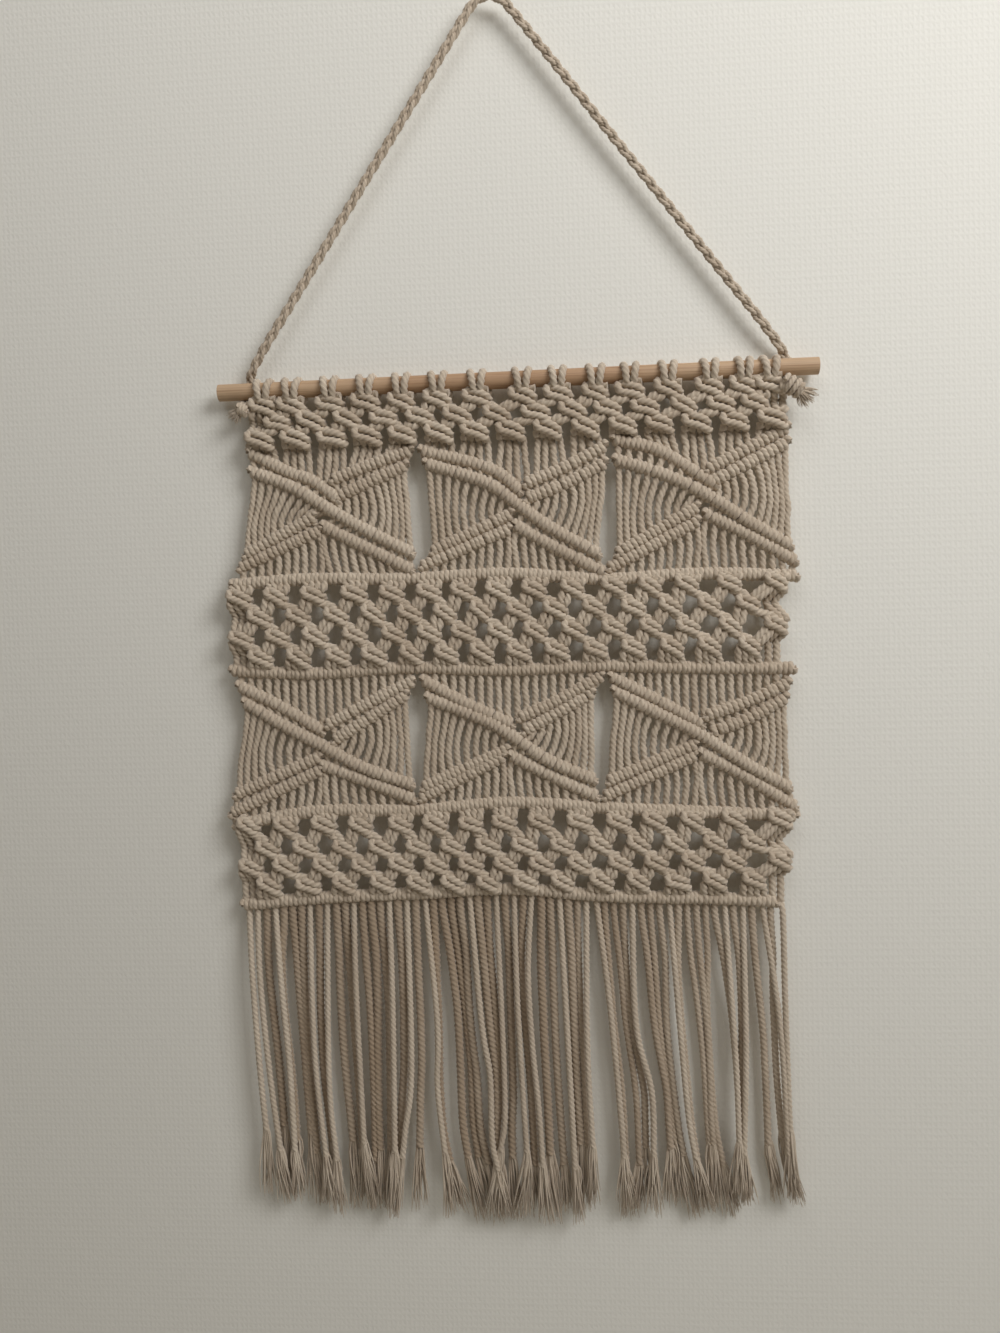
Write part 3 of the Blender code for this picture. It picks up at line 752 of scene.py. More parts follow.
@dataclass
class Fringe:
    """Sixty free strands under the last bar, with their last part unravelled.

    Attributes:
        bar: The bar that they hang from.
        guides: The strands that hang in front, each as places of x and drop from its top.
        gaps: Where the strands behind them part, as x and half the width of the gap.
        ends: Where the strands end, as x and drop.
        seed: What its unevenness starts from.
        tops: The places of the first and the last strand along the bar.
        width: The thickness of the front strands and of the looser ones behind.
        thinner: From which x on the strands behind are thinner, and by how much.
        depth: How far the front strands and those behind are from the panel's middle plane.
        lay: One full turn of their plies.
        step: The spacing of their points.
        shaded: Between which places the painted shade on the strands behind goes from darker to lighter.
        brush: The length of the unravelled ends.
        yarns: The yarns in one brush.
    """

    bar: Bar
    guides: Sequence[Sequence[tuple[float, float]]]
    gaps: Sequence[tuple[float, float]]
    ends: Sequence[tuple[float, float]]
    seed: int = 41
    tops: tuple[float, float] = (-196.0, 190.5)
    width: tuple[float, float] = (4.9, 6.9)
    thinner: tuple[float, float] = (40.0, 1.2)
    depth: tuple[float, float] = (-3.6, 2.8)
    lay: float = 11.5
    step: float = 1.6
    shaded: tuple[float, float] = (20.0, 150.0)
    brush: float = 46.0
    yarns: int = 26

    def strands(self) -> tuple[list[Strand], list[Strand], list[Strand]]:
        """Hang the strands.

        Returns:
            The front strands, the back strands and the yarns of all the brushes.
        """
        rng = np.random.default_rng(self.seed)
        layers: tuple[list[Strand], list[Strand]] = ([], [])
        yarns: list[Strand] = []
        drops = np.array(self.ends)
        tops = np.linspace(*self.tops, CORDS)
        guided = {int(np.argmin(abs(tops - guide[0][0]))): guide for guide in self.guides}
        for number, x in enumerate(tops):
            start = self.bar.at_x(x)
            end_drop = float(np.interp(x, drops[:, 0], drops[:, 1])) + rng.normal(0, 3.5)
            last = end_drop - self.brush * float(rng.uniform(0.75, 1.1))
            back = 0 if number in guided else 1
            if back:
                route = self.drift(rng, x, ROD_Z - start[2], last)
            else:
                route = [p for p in guided[number][1:] if p[1] < last - 12]
                (x0, d0), (x1, d1) = guided[number][-2:]
                route.append((x1 + (last - d1) * (x1 - x0) / (d1 - d0), last))
            depth = self.depth[back] + rng.normal(0, 0.8)
            points = [start + (0, 0.8, 0)]
            if back:
                points.append(start + (0, 0.6 * depth, -14.0))
            points += [place(px, depth, drop) for px, drop in route]
            line = smooth(points, self.step)
            # Painted shade: the strands behind are made darker than the front ones, darkest at the left of
            # the shaded span, for the shadow that the front strands cast on them; the front strands get a
            # lighter random tone.
            darkest = float(np.interp(x, self.shaded, (-0.5, 0.1)))
            tone_and_painted_shade = float(rng.uniform(darkest, darkest + 0.4)) if back else float(rng.uniform(0.5, 0.9))
            width = self.width[back] * float(rng.uniform(0.95, 1.05))
            if back and x > self.thinner[0]:
                width -= self.thinner[1]
            layers[back].append(Strand(line, width, self.lay, tone_and_painted_shade, float(rng.uniform(0, 6))))
            way = line[-1] - line[-8]
            way /= np.linalg.norm(way)
            yarns += self.unravel(rng, line[-1], way, ROD_Z - end_drop, width, tone_and_painted_shade)
        return (*layers, yarns)

    def drift(self, rng: np.random.Generator, x: float, first: float, last: float) -> list[Sequence[float]]:
        """The way that a strand behind hangs: with its neighbours' drift, out of the gaps.

        Args:
            rng: The source of its unevenness.
            x: Where it leaves the bar.
            first: Its drop there.
            last: The drop at which it ends.

        Returns:
            Its places, as x and drop.
        """
        sway, phase, lean = rng.normal(0, 0.9), rng.uniform(0, 2 * math.pi), rng.normal(0, 1.3)
        places = []
        for t in np.linspace(0, 1, 10)[2:]:
            drop = first + (last - first) * t
            tops = [guide[0][0] for guide in self.guides]
            moved = [float(np.interp(drop, [p[1] for p in guide], [p[0] for p in guide])) - guide[0][0]
                     for guide in self.guides]
            across = x + float(np.interp(x, tops, moved)) + lean * t + sway * math.sin(phase + 5.0 * t)
            for gap, half in self.gaps:
                away = abs(x - gap)
                side = 1.0 if x > gap else -1.0
                across += side * 0.7 * half * math.exp(-(away / (1.5 * half)) ** 2) * min(1.0, 2.5 * t)
            places.append((across, drop))
        return places

    def unravel(self, rng: np.random.Generator, root: Array, way: Array, floor: float, width: float,
                tone_and_painted_shade: float) -> list[Strand]:
        """Open a strand's end into a soft brush.

        Args:
            rng: The source of its unevenness.
            root: Where the twist ends.
            way: The direction in which the strand arrives.
            floor: The height at which the brush ends.
            width: The strand's width.
            tone_and_painted_shade: How light the strand is.

        Returns:
            The yarns of the brush.
        """
        made = []
        length = root[2] - floor
        flare = rng.uniform(4.6, 8.2)
        bend = way[0] / -way[2] * length + rng.normal(0.5, 2.5)
        for number in range(self.yarns):
            angle = GOLDEN_TURN * number
            share = math.sqrt((number + 0.5) / self.yarns)
            out = np.array([math.cos(angle), 0.6 * math.sin(angle), 0.0]) * share
            reach = length * rng.uniform(0.8, 1.06)
            wave = rng.normal(0, 1.3, 3) * (1, 0.6, 0)
            points = [root - 4.0 * way + out * width * 0.3]
            for t in (0.1, 0.3, 0.5, 0.75, 1.0):
                spread = width * 0.4 + (flare - width * 0.4) * t ** 1.2
                points.append(root + np.array([bend * t, 0, -reach * t]) + out * spread
                              + wave * math.sin(3.0 * t + number))
            line = smooth(points, 6.5)
            across = np.interp(np.linspace(0, 1, len(line)), (0, 0.5, 1), (1.5, 1.1, 0.35))
            # A brush keeps part of its strand's lightness, so the brushes of the strands behind carry some of
            # their painted shade.
            shade = float(np.clip(0.45 + 0.35 * tone_and_painted_shade + rng.normal(0, 0.2), 0, 1))
            made.append(Strand(line, across, YARN_LAY, shade))
        return made


@dataclass
class RodLoops:
    """Thirty doubled cords over the rod, two to a knot, in a V in front and spread behind.

    Attributes:
        centres: The middles of the pairs.
        seed: What their unevenness starts from.
        width: The thickness of the strands.
        top: Half the distance between the two strands on top of the rod.
        foot: Half their distance where they enter the knot.
        behind: Half their distance under the back of the rod.
        front_radius: Their distance from the rod's middle, in front and behind.
        top_radius: Their distance from it on top.
        turns: The angles of their points, from the front up and over, with the share of the V's opening
            that they have there.
        step: The spacing of the strands' points.
    """

    centres: Sequence[float]
    seed: int = 5
    width: float = 5.8
    top: float = 4.6
    foot: float = 2.5
    behind: float = 7.0
    front_radius: float = 8.2
    top_radius: float = 6.3
    turns: tuple[tuple[float, float], ...] = ((0, 0.4), (35, 0.75), (70, 1.0), (110, 1.05), (150, 1.1),
                                              (185, 1.2))
    step: float = 1.4

    def strands(self) -> list[Strand]:
        """Lay each doubled cord over the rod, from its knot's core in front to the outer cord behind."""
        rng = np.random.default_rng(self.seed)
        made = []
        for x in self.centres:
            for side in (-1, 1):
                top = side * self.top + rng.normal(0, 0.4)
                foot = side * self.foot
                points = [place(x + side * CORD / 2, -0.5, 9.0), place(x + foot, -6.0, 6.3)]
                for turn, spread in self.turns:
                    angle = math.radians(turn)
                    radius = self.front_radius + (self.top_radius - self.front_radius) * math.sin(angle)
                    points.append(np.array([x + foot + (top - foot) * spread, -radius * math.cos(angle),
                                            ROD_Z + radius * math.sin(angle)]))
                points.append(place(x + side * self.behind, 5.6, 5.2))
                points.append(place(x + side * 1.5 * CORD, 1.5, 8.0))
                made.append(Strand(smooth(points, self.step), self.width, LAY,
                                   float(rng.uniform(0.45, 0.8)), float(rng.uniform(0, 6))))
        return made


@dataclass(frozen=True)
class TiedEnd:
    """One end of the plait, tied to the rod with a small wrapped knot.

    Attributes:
        x: Where it goes round the rod.
        knot_x: Where its knot is.
        size: The knot's length.
        brush_at: Where its frayed yarns come out, as x, y and drop.
        brush_way: The direction in which they point.
        brush_length: How long they are.
        flare: How far they fan out.
        yarns: How many there are.
        turns: The angles at which its cords pass the rod, above the level of the back.
        round_rod: The radius on which they do.
        half_gap: Half the distance between the two cords.
        under: Where they meet the knot, as y and drop.
        knot_at: The knot's middle, as y and drop.
        cord: Their thickness.
        wrap: The thickness of the cord round the knot.
        wraps: How often it goes round.
        tilt: How the knot is turned, in degrees.
        roundness: The radius of the wraps as a share of the knot's size.
    """

    x: float
    knot_x: float
    size: float
    brush_at: tuple[float, float, float]
    brush_way: tuple[float, float, float]
    brush_length: float
    flare: float
    yarns: int
    turns: tuple[float, ...] = (30, 0, -30, -60, -95)
    round_rod: float = 8.3
    half_gap: float = 1.9
    under: tuple[float, float] = (-6.5, 12.0)
    knot_at: tuple[float, float] = (-7.2, 14.5)
    cord: float = 3.8
    wrap: float = 4.2
    wraps: int = 3
    tilt: float = -28.0
    roundness: float = 0.62


@dataclass
class Hanger:
    """A three-strand plait from one end of the rod over the nail to the other, with its tied ends.

    Attributes:
        route: The plait's listed places.
        ends: The tied ends, the left one first.
        width: The width across the plait.
        strand: The thickness of each of its three strands.
        period: The length over which a strand crosses to the other edge and comes back.
        rise: How far a strand goes over and under the others.
        lay: One full turn of a strand's plies.
        step: The spacing of the strands' points.
        seed: What the unevenness of the tied ends starts from.
    """

    route: Sequence[tuple[float, float, float]]
    ends: Sequence[TiedEnd]
    width: float = 7.5
    strand: float = 3.7
    period: float = 32.0
    rise: float = 1.05
    lay: float = 9.0
    step: float = 1.7
    seed: int = 77

    def line(self) -> Array:
        """The plait's middle line."""
        return smooth(self.route, 0.9)

    def plait(self) -> list[Strand]:
        """The three strands, each swinging from edge to edge and over and under the others."""
        middle = self.line()
        run = run_of(middle)
        way = np.gradient(middle, axis=0)
        way /= np.linalg.norm(way, axis=1)[:, None]
        side = np.cross(way, DEPTH_WAY)
        side /= np.linalg.norm(side, axis=1)[:, None]
        depth = np.cross(side, way)
        made = []
        for number in range(3):
            angle = 2 * math.pi * (run / self.period + number / 3)
            swing = (self.width - self.strand) / 2 * np.sin(angle)
            rise = self.rise * np.sin(2 * angle)
            points = middle + swing[:, None] * side + rise[:, None] * depth
            made.append(Strand(even(points, self.step), self.strand, self.lay, 0.35 + 0.1 * number,
                               float(number)))
        return made

    def ties(self) -> tuple[list[Strand], list[Strand]]:
        """The ends round the back of the rod, their knots in front and the yarns that stand out of them.

        Returns:
            The cords and the yarns.
        """
        rng = np.random.default_rng(self.seed)
        cords = [strand for end in self.ends for strand in self.tie(end)]
        yarns = [strand for end in self.ends
                 for strand in self.tuft(rng, place(*end.brush_at), end.brush_way, end.brush_length,
                                         end.flare, end.yarns)]
        return cords, yarns

    def tie(self, end: TiedEnd) -> list[Strand]:
        """Two cords that come down behind the rod and under it to a wrapped knot.

        Args:
            end: The end of the plait that is tied.

        Returns:
            The two cords, the wraps of the knot and its core.
        """
        made = []
        for shift in (-end.half_gap, end.half_gap):
            points = []
            for turn in end.turns:
                angle = math.radians(turn)
                points.append(np.array([end.x + shift, end.round_rod * math.cos(angle),
                                        ROD_Z + end.round_rod * math.sin(angle)]))
            points.append(place(end.knot_x + shift / 2, *end.under))
            made.append(Strand(smooth(points, 1.4), end.cord, self.lay, 0.5, shift))
        angle = np.linspace(0, 2 * math.pi * end.wraps, 24 * end.wraps)
        tilt = math.radians(end.tilt)
        radius = end.roundness * end.size
        coil = np.stack([(angle / angle[-1] - 0.5) * end.size * 1.5, -radius * np.cos(angle),
                         radius * np.sin(angle)], axis=1)
        turned = coil.copy()
        turned[:, 0] = coil[:, 0] * math.cos(tilt) - coil[:, 2] * math.sin(tilt)
        turned[:, 2] = coil[:, 0] * math.sin(tilt) + coil[:, 2] * math.cos(tilt)
        middle = place(end.knot_x, *end.knot_at)
        core = [middle - (end.size, 0, 0), middle, middle + (end.size, 0, -1)]
        made.append(Strand(even(turned + middle, 1.5), end.wrap, 10.0, 0.6))
        made.append(Strand(smooth(core, 1.5), end.size * 0.9, 12.0, 0.5))
        return made

    def tuft(self, rng: np.random.Generator, root: Array, way: Sequence[float], length: float,
             flare: float, count: int) -> list[Strand]:
        """Frayed yarns that fan out from a knot.

        Args:
            rng: The source of their unevenness.
            root: Where they come out.
            way: The direction in which they point.
            length: How long they are.
            flare: How far they fan out.
            count: How many there are.

        Returns:
            The yarns.
        """
        along = np.asarray(way, float) / np.linalg.norm(way)
        made = []
        for number in range(count):
            angle = GOLDEN_TURN * number
            share = math.sqrt((number + 0.5) / count)
            across = np.cross(along, DEPTH_WAY) * math.cos(angle) + 0.5 * math.sin(angle) * DEPTH_WAY
            reach = length * rng.uniform(0.6, 1.0)
            points = [root + along * reach * t + across * share * (1.2 + flare * t)
                      + rng.normal(0, 0.25, 3) for t in (0.0, 0.35, 0.7, 1.0)]
            line = smooth(points, 2.5)
            width = np.interp(np.linspace(0, 1, len(line)), (0, 0.6, 1), (1.1, 0.8, 0.3))
            made.append(Strand(line, width, YARN_LAY, float(rng.uniform(0.5, 1.0))))
        return made


@dataclass(frozen=True)
class Lamp:
    """A square area light.

    Attributes:
        where: Its place, in metres.
        size: Its side, in metres.
        power: Its power, in watts.
        colour: Its linear colour.
        behind: Whether it shines through the backdrop at the back of the hanging.
    """

    where: tuple[float, float, float]
    size: float
    power: float
    colour: tuple[float, float, float]
    behind: bool = False


@dataclass(frozen=True)
class Studio:
    """The stage: a pale backdrop close behind the panel, a pale floor, soft daylight and the camera.

    Attributes:
        focal: The camera's focal length for a 36 mm long side, in mm.
        aim: The place it looks at.
        distance: How far it is from there.
        yaw, pitch, roll: Its turn to the side, downwards and about its own axis, in degrees.
        wall_y: How far the backdrop is behind the panel's middle.
        half_width, top, foot, front: How far the backdrop and the floor reach, in metres.
        lit: The place that the lamps point at, in metres.
        surround: The colour of the light from all around, and how strong it is.
        lamps: A broad soft window at the upper right, a weak fill from above and a light for the back.
        passed: The objects that the light for the back neither meets nor lights.
    """

    focal: float = 27.03
    aim: tuple[float, float, float] = (-4.8, 0.0, -466.5)
    distance: float = 720.0
    yaw: float = 4.0
    pitch: float = 2.3
    roll: float = 1.65
    wall_y: float = 11.0
    half_width: float = 1.6
    top: float = 0.7
    foot: float = -1.5
    front: float = -1.6
    lit: tuple[float, float, float] = (0.0, 0.0, -0.45)
    surround: tuple[str, float] = ("#D9CBB8", 0.16)
    lamps: Mapping[str, Lamp] = field(default_factory=lambda: {
        "window": Lamp((1.0, -1.0, 0.42), 0.8, 17.5, (0.985, 0.99, 1.0)),
        "ceiling": Lamp((-0.1, -0.9, 0.75), 0.9, 5.0, (0.99, 0.99, 0.99)),
        "rear": Lamp((0.3, 1.2, 0.1), 1.0, 2.6, (1.0, 0.99, 0.97), behind=True),
    })
    passed: bpy.types.Collection = field(default_factory=lambda: bpy.data.collections.new("passed"))

    def camera(self) -> None:
        """Place the camera."""
        yaw, pitch, roll = (math.radians(a) for a in (self.yaw, self.pitch, self.roll))
        ahead = Vector((-math.sin(yaw) * math.cos(pitch), math.cos(yaw) * math.cos(pitch), -math.sin(pitch)))
        level = ahead.cross((0, 0, 1)).normalized()
        above = level.cross(ahead)
        right = math.cos(roll) * level - math.sin(roll) * above
        up = math.sin(roll) * level + math.cos(roll) * above
        data = bpy.data.cameras.new("camera")
        data.sensor_width = 36.0
        data.lens = self.focal
        data.clip_start = 0.01
        camera = bpy.data.objects.new("camera", data)
        turn = Matrix((right, up, -ahead)).transposed().to_4x4()
        where = (Vector(self.aim) - ahead * self.distance) * MM
        camera.matrix_world = Matrix.Translation(where) @ turn
        bpy.context.scene.collection.objects.link(camera)
        bpy.context.scene.camera = camera

    def backdrop(self, finish: bpy.types.Material) -> None:
        """Build the backdrop, which the rear light passes, and the floor."""
        wall = self.wall_y * MM
        left, right = -self.half_width, self.half_width
        planes = {
            "backdrop": [(left, wall, self.foot), (right, wall, self.foot),
                         (right, wall, self.top), (left, wall, self.top)],
            "floor": [(left, self.front, self.foot), (right, self.front, self.foot),
                      (right, wall, self.foot), (left, wall, self.foot)],
        }
        for name, corners in planes.items():
            mesh = bpy.data.meshes.new(name)
            mesh.from_pydata(corners, [], [(0, 1, 2, 3)])
            mesh.materials.append(finish)
            made = bpy.data.objects.new(name, mesh)
            bpy.context.scene.collection.objects.link(made)
            if name == "backdrop":
                self.passed.objects.link(made)
                self.passed.collection_objects[0].light_linking.link_state = "EXCLUDE"

    def lights(self) -> None:
        """Hang the lamps and dim the surround."""
        for name, lamp in self.lamps.items():
            data = bpy.data.lights.new(name, "AREA")
            data.size = lamp.size
            data.energy = lamp.power
            data.color = lamp.colour
            made = bpy.data.objects.new(name, data)
            turn = (Vector(self.lit) - Vector(lamp.where)).to_track_quat("-Z", "Y")
            made.matrix_world = Matrix.Translation(lamp.where) @ turn.to_matrix().to_4x4()
            if lamp.behind:
                made.light_linking.receiver_collection = self.passed
                made.light_linking.blocker_collection = self.passed
            bpy.context.scene.collection.objects.link(made)
        world = bpy.data.worlds.new("surround")
        world.use_nodes = True
        ground = world.node_tree.nodes["Background"]
        ground.inputs["Color"].default_value = linear(self.surround[0])
        ground.inputs["Strength"].default_value = self.surround[1]
        bpy.context.scene.world = world
        bpy.context.scene.view_settings.view_transform = "Standard"


# Places along the panel and drops below the rod's middle, in mm.
LOOP_CENTRES = (-169.5, -149, -121, -95, -69.5, -43, -15, 17, 42, 68.5, 92.5, 119, 148, 171.5, 189.5)
LONG_ROW = (-191.9, -165.2, -137.1, -108.5, -80.3, -54.5, -29.2, -4.0, 21.8, 48.9, 77.3, 103.4, 129.4,
            158.7, 190.7)
SHORT_ROW = (-178.4, -150.2, -122.2, -94.7, -68, -42.6, -17, 9.6, 36.8, 64.2, 91.1, 117.9, 144.8, 171.7)
LOW_ROW = np.linspace(-173, 190, 15)
TOP_ROWS = (12.0, 24.0, 35.5)
BAND_ROWS = ((148.5, 163.3, 178.1, 192.5), (315.7, 332.6, 345.9, 359.2))
BAR_DROPS = ((139, 136.5, 138.5, 137, 143, 141.5, 145), (201, 205, 202.5, 206, 205, 208, 210),
             (315.5, 306, 306.5, 302, 307, 311, 315), (375, 370, 367.5, 365, 371, 373, 377))
BAR_ENDS = ((-199, 206), (-202, 203), (-204, 203), (-200, 188))
LEAF_BARS = (
    {"a": ((-183, 43), (-154, 59), (-136, 66), (-117, 81)), "b": ((-63.5, 46.5), (-91, 55), (-123, 66)),
     "c": ((-182.5, 57), (-152, 69.5), (-127.5, 85), (-101, 101), (-64.5, 121)),
     "d": ((-67, 57), (-122, 79)), "e": ((-135, 91), (-189, 118)), "f": ((-131, 101), (-193.5, 127)),
     "g": ((-131, 98), (-65, 133))},
    {"a": ((-58, 47), (-8, 62), (14.5, 80)), "b": ((75, 48.6), (48, 62), (16, 74)),
     "c": ((-55, 56), (-11, 72), (11, 88), (32, 104), (69, 126)), "d": ((75, 60.6), (48, 73.6), (16, 85)),
     "e": ((8, 94), (-52, 120)), "f": ((6, 105), (-60, 130)), "g": ((8, 102), (36, 119), (72, 139))},
    {"a": ((79, 44.6), (112, 54), (142, 74), (152, 80)), "b": ((202, 41), (174, 55), (144, 69)),
     "c": ((80, 59), (112, 70), (142, 85), (173, 106), (203, 124.6)), "d": ((202, 51.5), (148, 77.5)),
     "e": ((139, 94), (80, 126)), "f": ((139, 104), (74, 136)), "g": ((142, 99), (173, 115.5), (206, 135.5))},
    {"a": ((-198, 212), (-165, 229), (-134.5, 248)), "b": ((-67.5, 212), (-98, 226), (-133, 243)),
     "c": ((-194, 224), (-163, 243), (-137, 257), (-107, 274), (-70, 288)), "d": ((-72, 221), (-128.5, 255)),
     "e": ((-137, 265.5), (-203, 293)), "f": ((-137, 275), (-207, 307)),
     "g": ((-137, 272), (-100, 286), (-69, 299))},
    {"a": ((-62, 211), (-31, 229), (4, 246)), "b": ((69, 211.5), (36, 229), (7, 241)),
     "c": ((-59, 224), (-16, 242), (3.5, 254), (27, 271), (62, 287)), "d": ((62, 223.5), (10, 251)),
     "e": ((0, 263), (-64, 290)), "f": ((-3, 268), (-66, 298)), "g": ((0, 267), (32, 284), (63, 299))},
    {"a": ((73, 212), (108, 231), (139, 249)), "b": ((200, 220), (170.5, 232.5), (140, 242.5)),
     "c": ((75, 222), (108, 240), (136, 255), (170, 278), (199, 295)),
     "d": ((198, 230), (170, 245), (143.5, 254)), "e": ((134, 262), (70, 288)),
     "f": ((134, 269.5), (67, 299)),
     "g": ((135.5, 268), (169.5, 287), (203, 309))},
)
HANGER_ROUTE = ((-184.0, 8.2, -259), (-181.8, 6.4, -254), (-178, 2.4, -246.5), (-167, 0, -230.2),
                (-156, 0, -214), (-129, 0, -174.5), (-102, 0, -134.5), (-75, 0, -95), (-48, 0, -55.5),
                (-27, 0, -24.5), (-16.5, 0, -9), (-12.5, 0, -3.5), (-7.5, 0, 1.5), (0, 0, 3.75),
                (7.5, 0, 1.8), (13, 0, -3), (17.5, 0, -8.5), (29, 0, -23.5), (52, 0, -54), (81, 0, -93),
                (110.5, 0, -132), (139.5, 0, -170.5), (169, 0, -209.5), (183, 0, -228), (196.5, 2.4, -246),
                (201, 6.4, -252.5), (204.5, 8.2, -258))
HANGER_ENDS = (
    TiedEnd(-184.0, -184.0, 4.6, (-186.0, -7.5, 14.0), (-0.6, 0.0, -0.75), 10.5, 5.0, 40),
    TiedEnd(201.5, 203.2, 8.4, (206.5, -7.5, 16.5), (0.7, 0.0, -0.62), 15.0, 8.0, 72),
)
FRINGE_GUIDES = (
    ((-196, 376), (-194, 430), (-191, 500), (-187, 560)),
    ((-189, 376), (-188.5, 430), (-184, 500), (-176, 580)),
    ((-175.2, 384), (-173.1, 431), (-169.1, 494), (-166.4, 590)),
    ((-148.9, 378), (-149.9, 447), (-148.8, 502), (-142.2, 582)), ((-139.5, 378), (-139.3, 502), (-136, 560)),
    ((-120, 375), (-117, 440), (-115, 560)), ((-92, 375), (-90, 450), (-92, 560)),
    ((-78.4, 375), (-77.7, 494), (-83.9, 542), (-88, 573)),
    ((-62.9, 375), (-57.9, 463), (-59.4, 510), (-56.2, 557), (-45, 597)),
    ((-32, 376), (-25.4, 463), (-20.4, 502), (-20.2, 549), (-12.3, 596)),
    ((-14.3, 374), (-10, 518), (-14, 549), (-15, 580)), ((3.3, 374), (1.2, 447), (3.7, 525), (6, 580)),
    ((12.4, 378), (9.6, 424), (11.1, 478), (14.5, 525), (17.4, 588)), ((34.5, 376), (37.9, 510), (40, 580)),
    ((50.4, 379), (50.9, 478), (52.8, 556), (49.5, 596)), ((61, 380), (67.6, 447), (73.9, 533), (77, 595)),
    ((82.9, 380), (86.2, 463), (96.4, 514), (97, 580)),
    ((113.6, 383), (118.3, 478), (122.4, 533), (131.7, 595)),
    ((148, 380), (156.4, 486), (158.8, 556), (163.6, 579)), ((162.1, 380), (164, 478), (161, 570)),
    ((177.5, 391), (188.1, 463), (192.4, 555)),
    ((190, 378), (191.5, 386), (192, 440), (193, 500), (195, 590)),
)
FRINGE_GAPS = ((-169, 4.5), (-98, 2.0), (-55, 5.5), (54, 4.0), (68, 4.0), (92, 5.0), (119, 5.0), (140, 6.5),
               (184, 6.0))
FRINGE_ENDS = ((-200, 594), (-140, 603), (-60, 607), (20, 608), (130, 601), (202, 590))


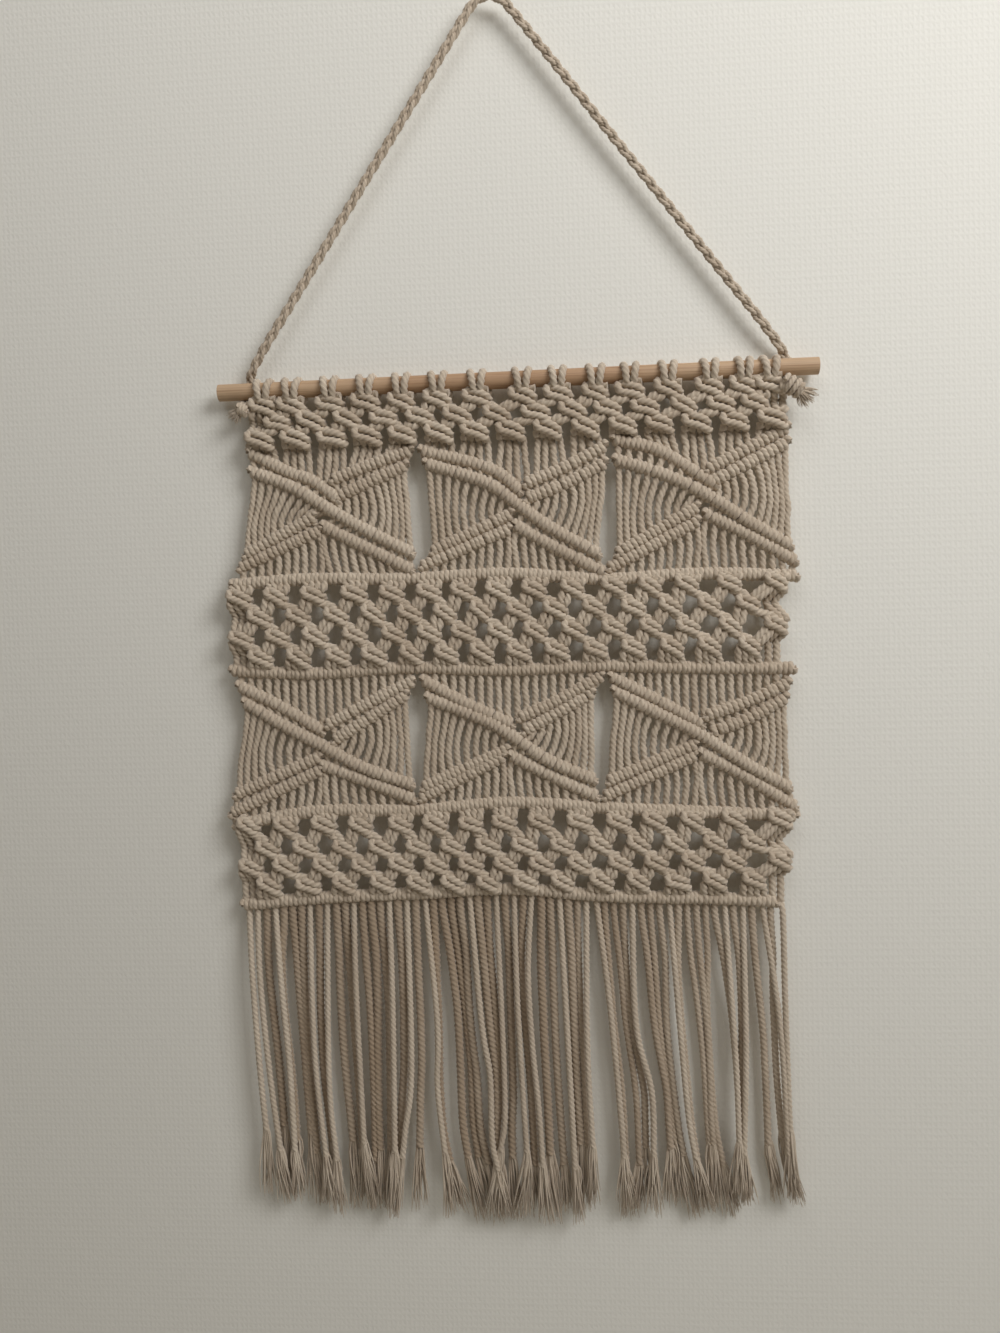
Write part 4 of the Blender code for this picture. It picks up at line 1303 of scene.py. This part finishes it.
@dataclass
class Hanging:
    """The whole wall hanging, built in the order in which it is tied."""

    sweeper: Sweeper
    cotton: bpy.types.Material
    wood: bpy.types.Material
    pieces: list[bpy.types.Object] = field(default_factory=list)

    def add(self, name: str, groups: Iterable[tuple[Section, Sequence[Strand]]], nodes: Sequence[str],
            slot: str = "cord") -> bpy.types.Object:
        """Build one piece and fix it to the frame.

        Args:
            name: The piece's name.
            groups: Its strands by section.
            nodes: The CAD nodes that it stands for.
            slot: Not used.

        Returns:
            The piece.
        """
        made = self.sweeper.join(name, groups, self.cotton)
        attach(made, "root")
        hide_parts(*nodes)
        self.pieces.append(made)
        triangles = sum(len(p.vertices) - 2 for p in made.data.polygons)
        log.info("%s: %d triangles", name, triangles)
        return made

    def rod(self) -> None:
        """Finish the rod, which keeps its CAD shape."""
        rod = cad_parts["rod"]
        rod.data.materials.clear()
        rod.data.materials.append(self.wood)

    def build(self) -> None:
        """Build every piece, from the rod down."""
        self.rod()
        plait = self.hanger(Hanger(HANGER_ROUTE, HANGER_ENDS))
        self.add("rod_loops", [(Section.THREE_PLY, RodLoops(LOOP_CENTRES).strands())],
                 [f"rod_loop_{k:02d}" for k in range(1, len(LOOP_CENTRES) + 1)])
        self.top_net()
        bars = [Bar(self.bar_route(k), 3.36, 100 + k) for k in range(len(BAR_ENDS))]
        nets = self.net_bands(bars)
        for k, bar in enumerate(bars):
            self.add(f"bar_{k + 1}_hitches", [(Section.HITCHED, bar.strands())], [f"bar_{k + 1}"])
        self.leaves(bars)
        front, back, brushes = Fringe(bars[3], FRINGE_GUIDES, FRINGE_GAPS, FRINGE_ENDS).strands()
        self.add("fringe_front", [(Section.THREE_PLY, front)], ["fringe"])
        self.add("fringe_back", [(Section.THREE_PLY, back)], ["fringe"])
        self.add("fringe_ends", [(Section.YARN, brushes)], ["fringe"])

    def hanger(self, hanger: Hanger) -> bpy.types.Object:
        """Build the plaited hanger and its tied ends."""
        line = hanger.line()
        plait = self.add("hanger_plait", [(Section.THREE_PLY, hanger.plait())], ["hanger_cord"], "hanger")
        cords, yarns = hanger.ties()
        self.add("hanger_ties", [(Section.THREE_PLY, cords), (Section.YARN, yarns)],
                 ["tie_ring_left", "tie_ring_right", "tie_knot_left", "tie_knot_right", "tie_brush_right"],
                 "hanger")
        return plait

    def top_net(self) -> None:
        """Build the three rows of knots under the rod."""
        mean_row = (np.array(LOOP_CENTRES) + LOW_ROW) / 2
        middle_row = (mean_row[:-1] + mean_row[1:]) / 2
        rows = [NetRow(TOP_ROWS[0], LOOP_CENTRES, 0), NetRow(TOP_ROWS[1], middle_row, 2),
                NetRow(TOP_ROWS[2], LOW_ROW, 0)]
        net = KnotNet(rows, None, None, 11)
        self.add("top_net_knots", [(Section.THREE_PLY, net.strands())], ["top_net"])

    def net_bands(self, bars: Sequence[Bar]) -> bpy.types.Object:
        """Build the two net bands, each between two straight bars."""
        strands: list[Strand] = []
        for band, drops in enumerate(BAND_ROWS):
            above, below = bars[2 * band], bars[2 * band + 1]
            rows = [NetRow(drop, SHORT_ROW if k % 2 else LONG_ROW, 2 if k % 2 else 0)
                    for k, drop in enumerate(drops)]
            net = KnotNet(rows, self.net_ends(above, LONG_ROW, 0), self.net_ends(below, SHORT_ROW, 2),
                          21 + band, share=0.34, lean=-12.0, tight=(0.83, 0.84))
            strands += net.strands()
        return self.add("net_bands", [(Section.THREE_PLY, strands)],
                        [f"net_band_{b}_{side}" for b in (1, 2) for side in ("left", "middle", "right")])

    def leaves(self, bars: Sequence[Bar]) -> None:
        """Build the six leaf motifs: three under the top net and three between the bands."""
        offsets = np.array([-1.6, -0.5, 0.5, 1.6]) * CORD
        knots = MOTIF // TIED
        for k, routes in enumerate(LEAF_BARS):
            if k < 3:
                above = [place(x + off, 0.0, TOP_ROWS[2] + 5.0)
                         for x in LOW_ROW[knots * k:knots * (k + 1)] for off in offsets]
                below = bars[0]
            else:
                left, right = routes["a"][0][0], routes["b"][0][0]
                above = [bars[1].at_x(left + (i + 0.5) * (right - left) / MOTIF) for i in range(MOTIF)]
                below = bars[2]
            leaf = Leaf(routes, above, below, 31 + k)
            groups = [(Section.HITCHED, leaf.hitched()), (Section.THREE_PLY, leaf.loose())]
            self.add(f"leaf_{k + 1}_cords", groups, [f"leaf_{k + 1}"])

    def bar_route(self, k: int) -> list[tuple[float, float]]:
        """The route of a horizontal bar, between its ends."""
        left, right = BAR_ENDS[k]
        inner = [(x, d) for x, d in zip(STATIONS, BAR_DROPS[k]) if left + 20 < x < right - 20]
        first = (left, float(np.interp(left, STATIONS, BAR_DROPS[k])))
        last = (right, float(np.interp(right, STATIONS, BAR_DROPS[k])))
        return [first, *inner, last]

    def net_ends(self, bar: Bar, centres: Sequence[float], first: int) -> list[Array]:
        """Where the sixty cords meet a bar, above or below a row of knots."""
        made = []
        beside = (3.8, 2.7)
        for cord in range(CORDS):
            number, slot = divmod(cord - first, TIED)
            if 0 <= number < len(centres):
                x = centres[number] + (slot - (TIED - 1) / 2) * CORD
            elif cord < TIED // 2:
                x = centres[0] - beside[cord] * CORD
            else:
                x = centres[-1] + beside[CORDS - 1 - cord] * CORD
            made.append(bar.at_x(x))
        return made


def main() -> None:
    """Build the stage and the hanging."""
    logging.basicConfig(level=logging.INFO, format="%(name)s: %(message)s")
    studio = Studio()
    studio.camera()
    studio.lights()
    studio.backdrop(PaintedBackdrop().build())
    hanging = Hanging(Sweeper(), CottonCord().build(), RodWood().build())
    hanging.build()
    total = sum(len(p.vertices) - 2 for o in hanging.pieces for p in o.data.polygons)
    log.info("%d pieces, %d triangles", len(hanging.pieces), total)


if __name__ == "__main__":
    main()
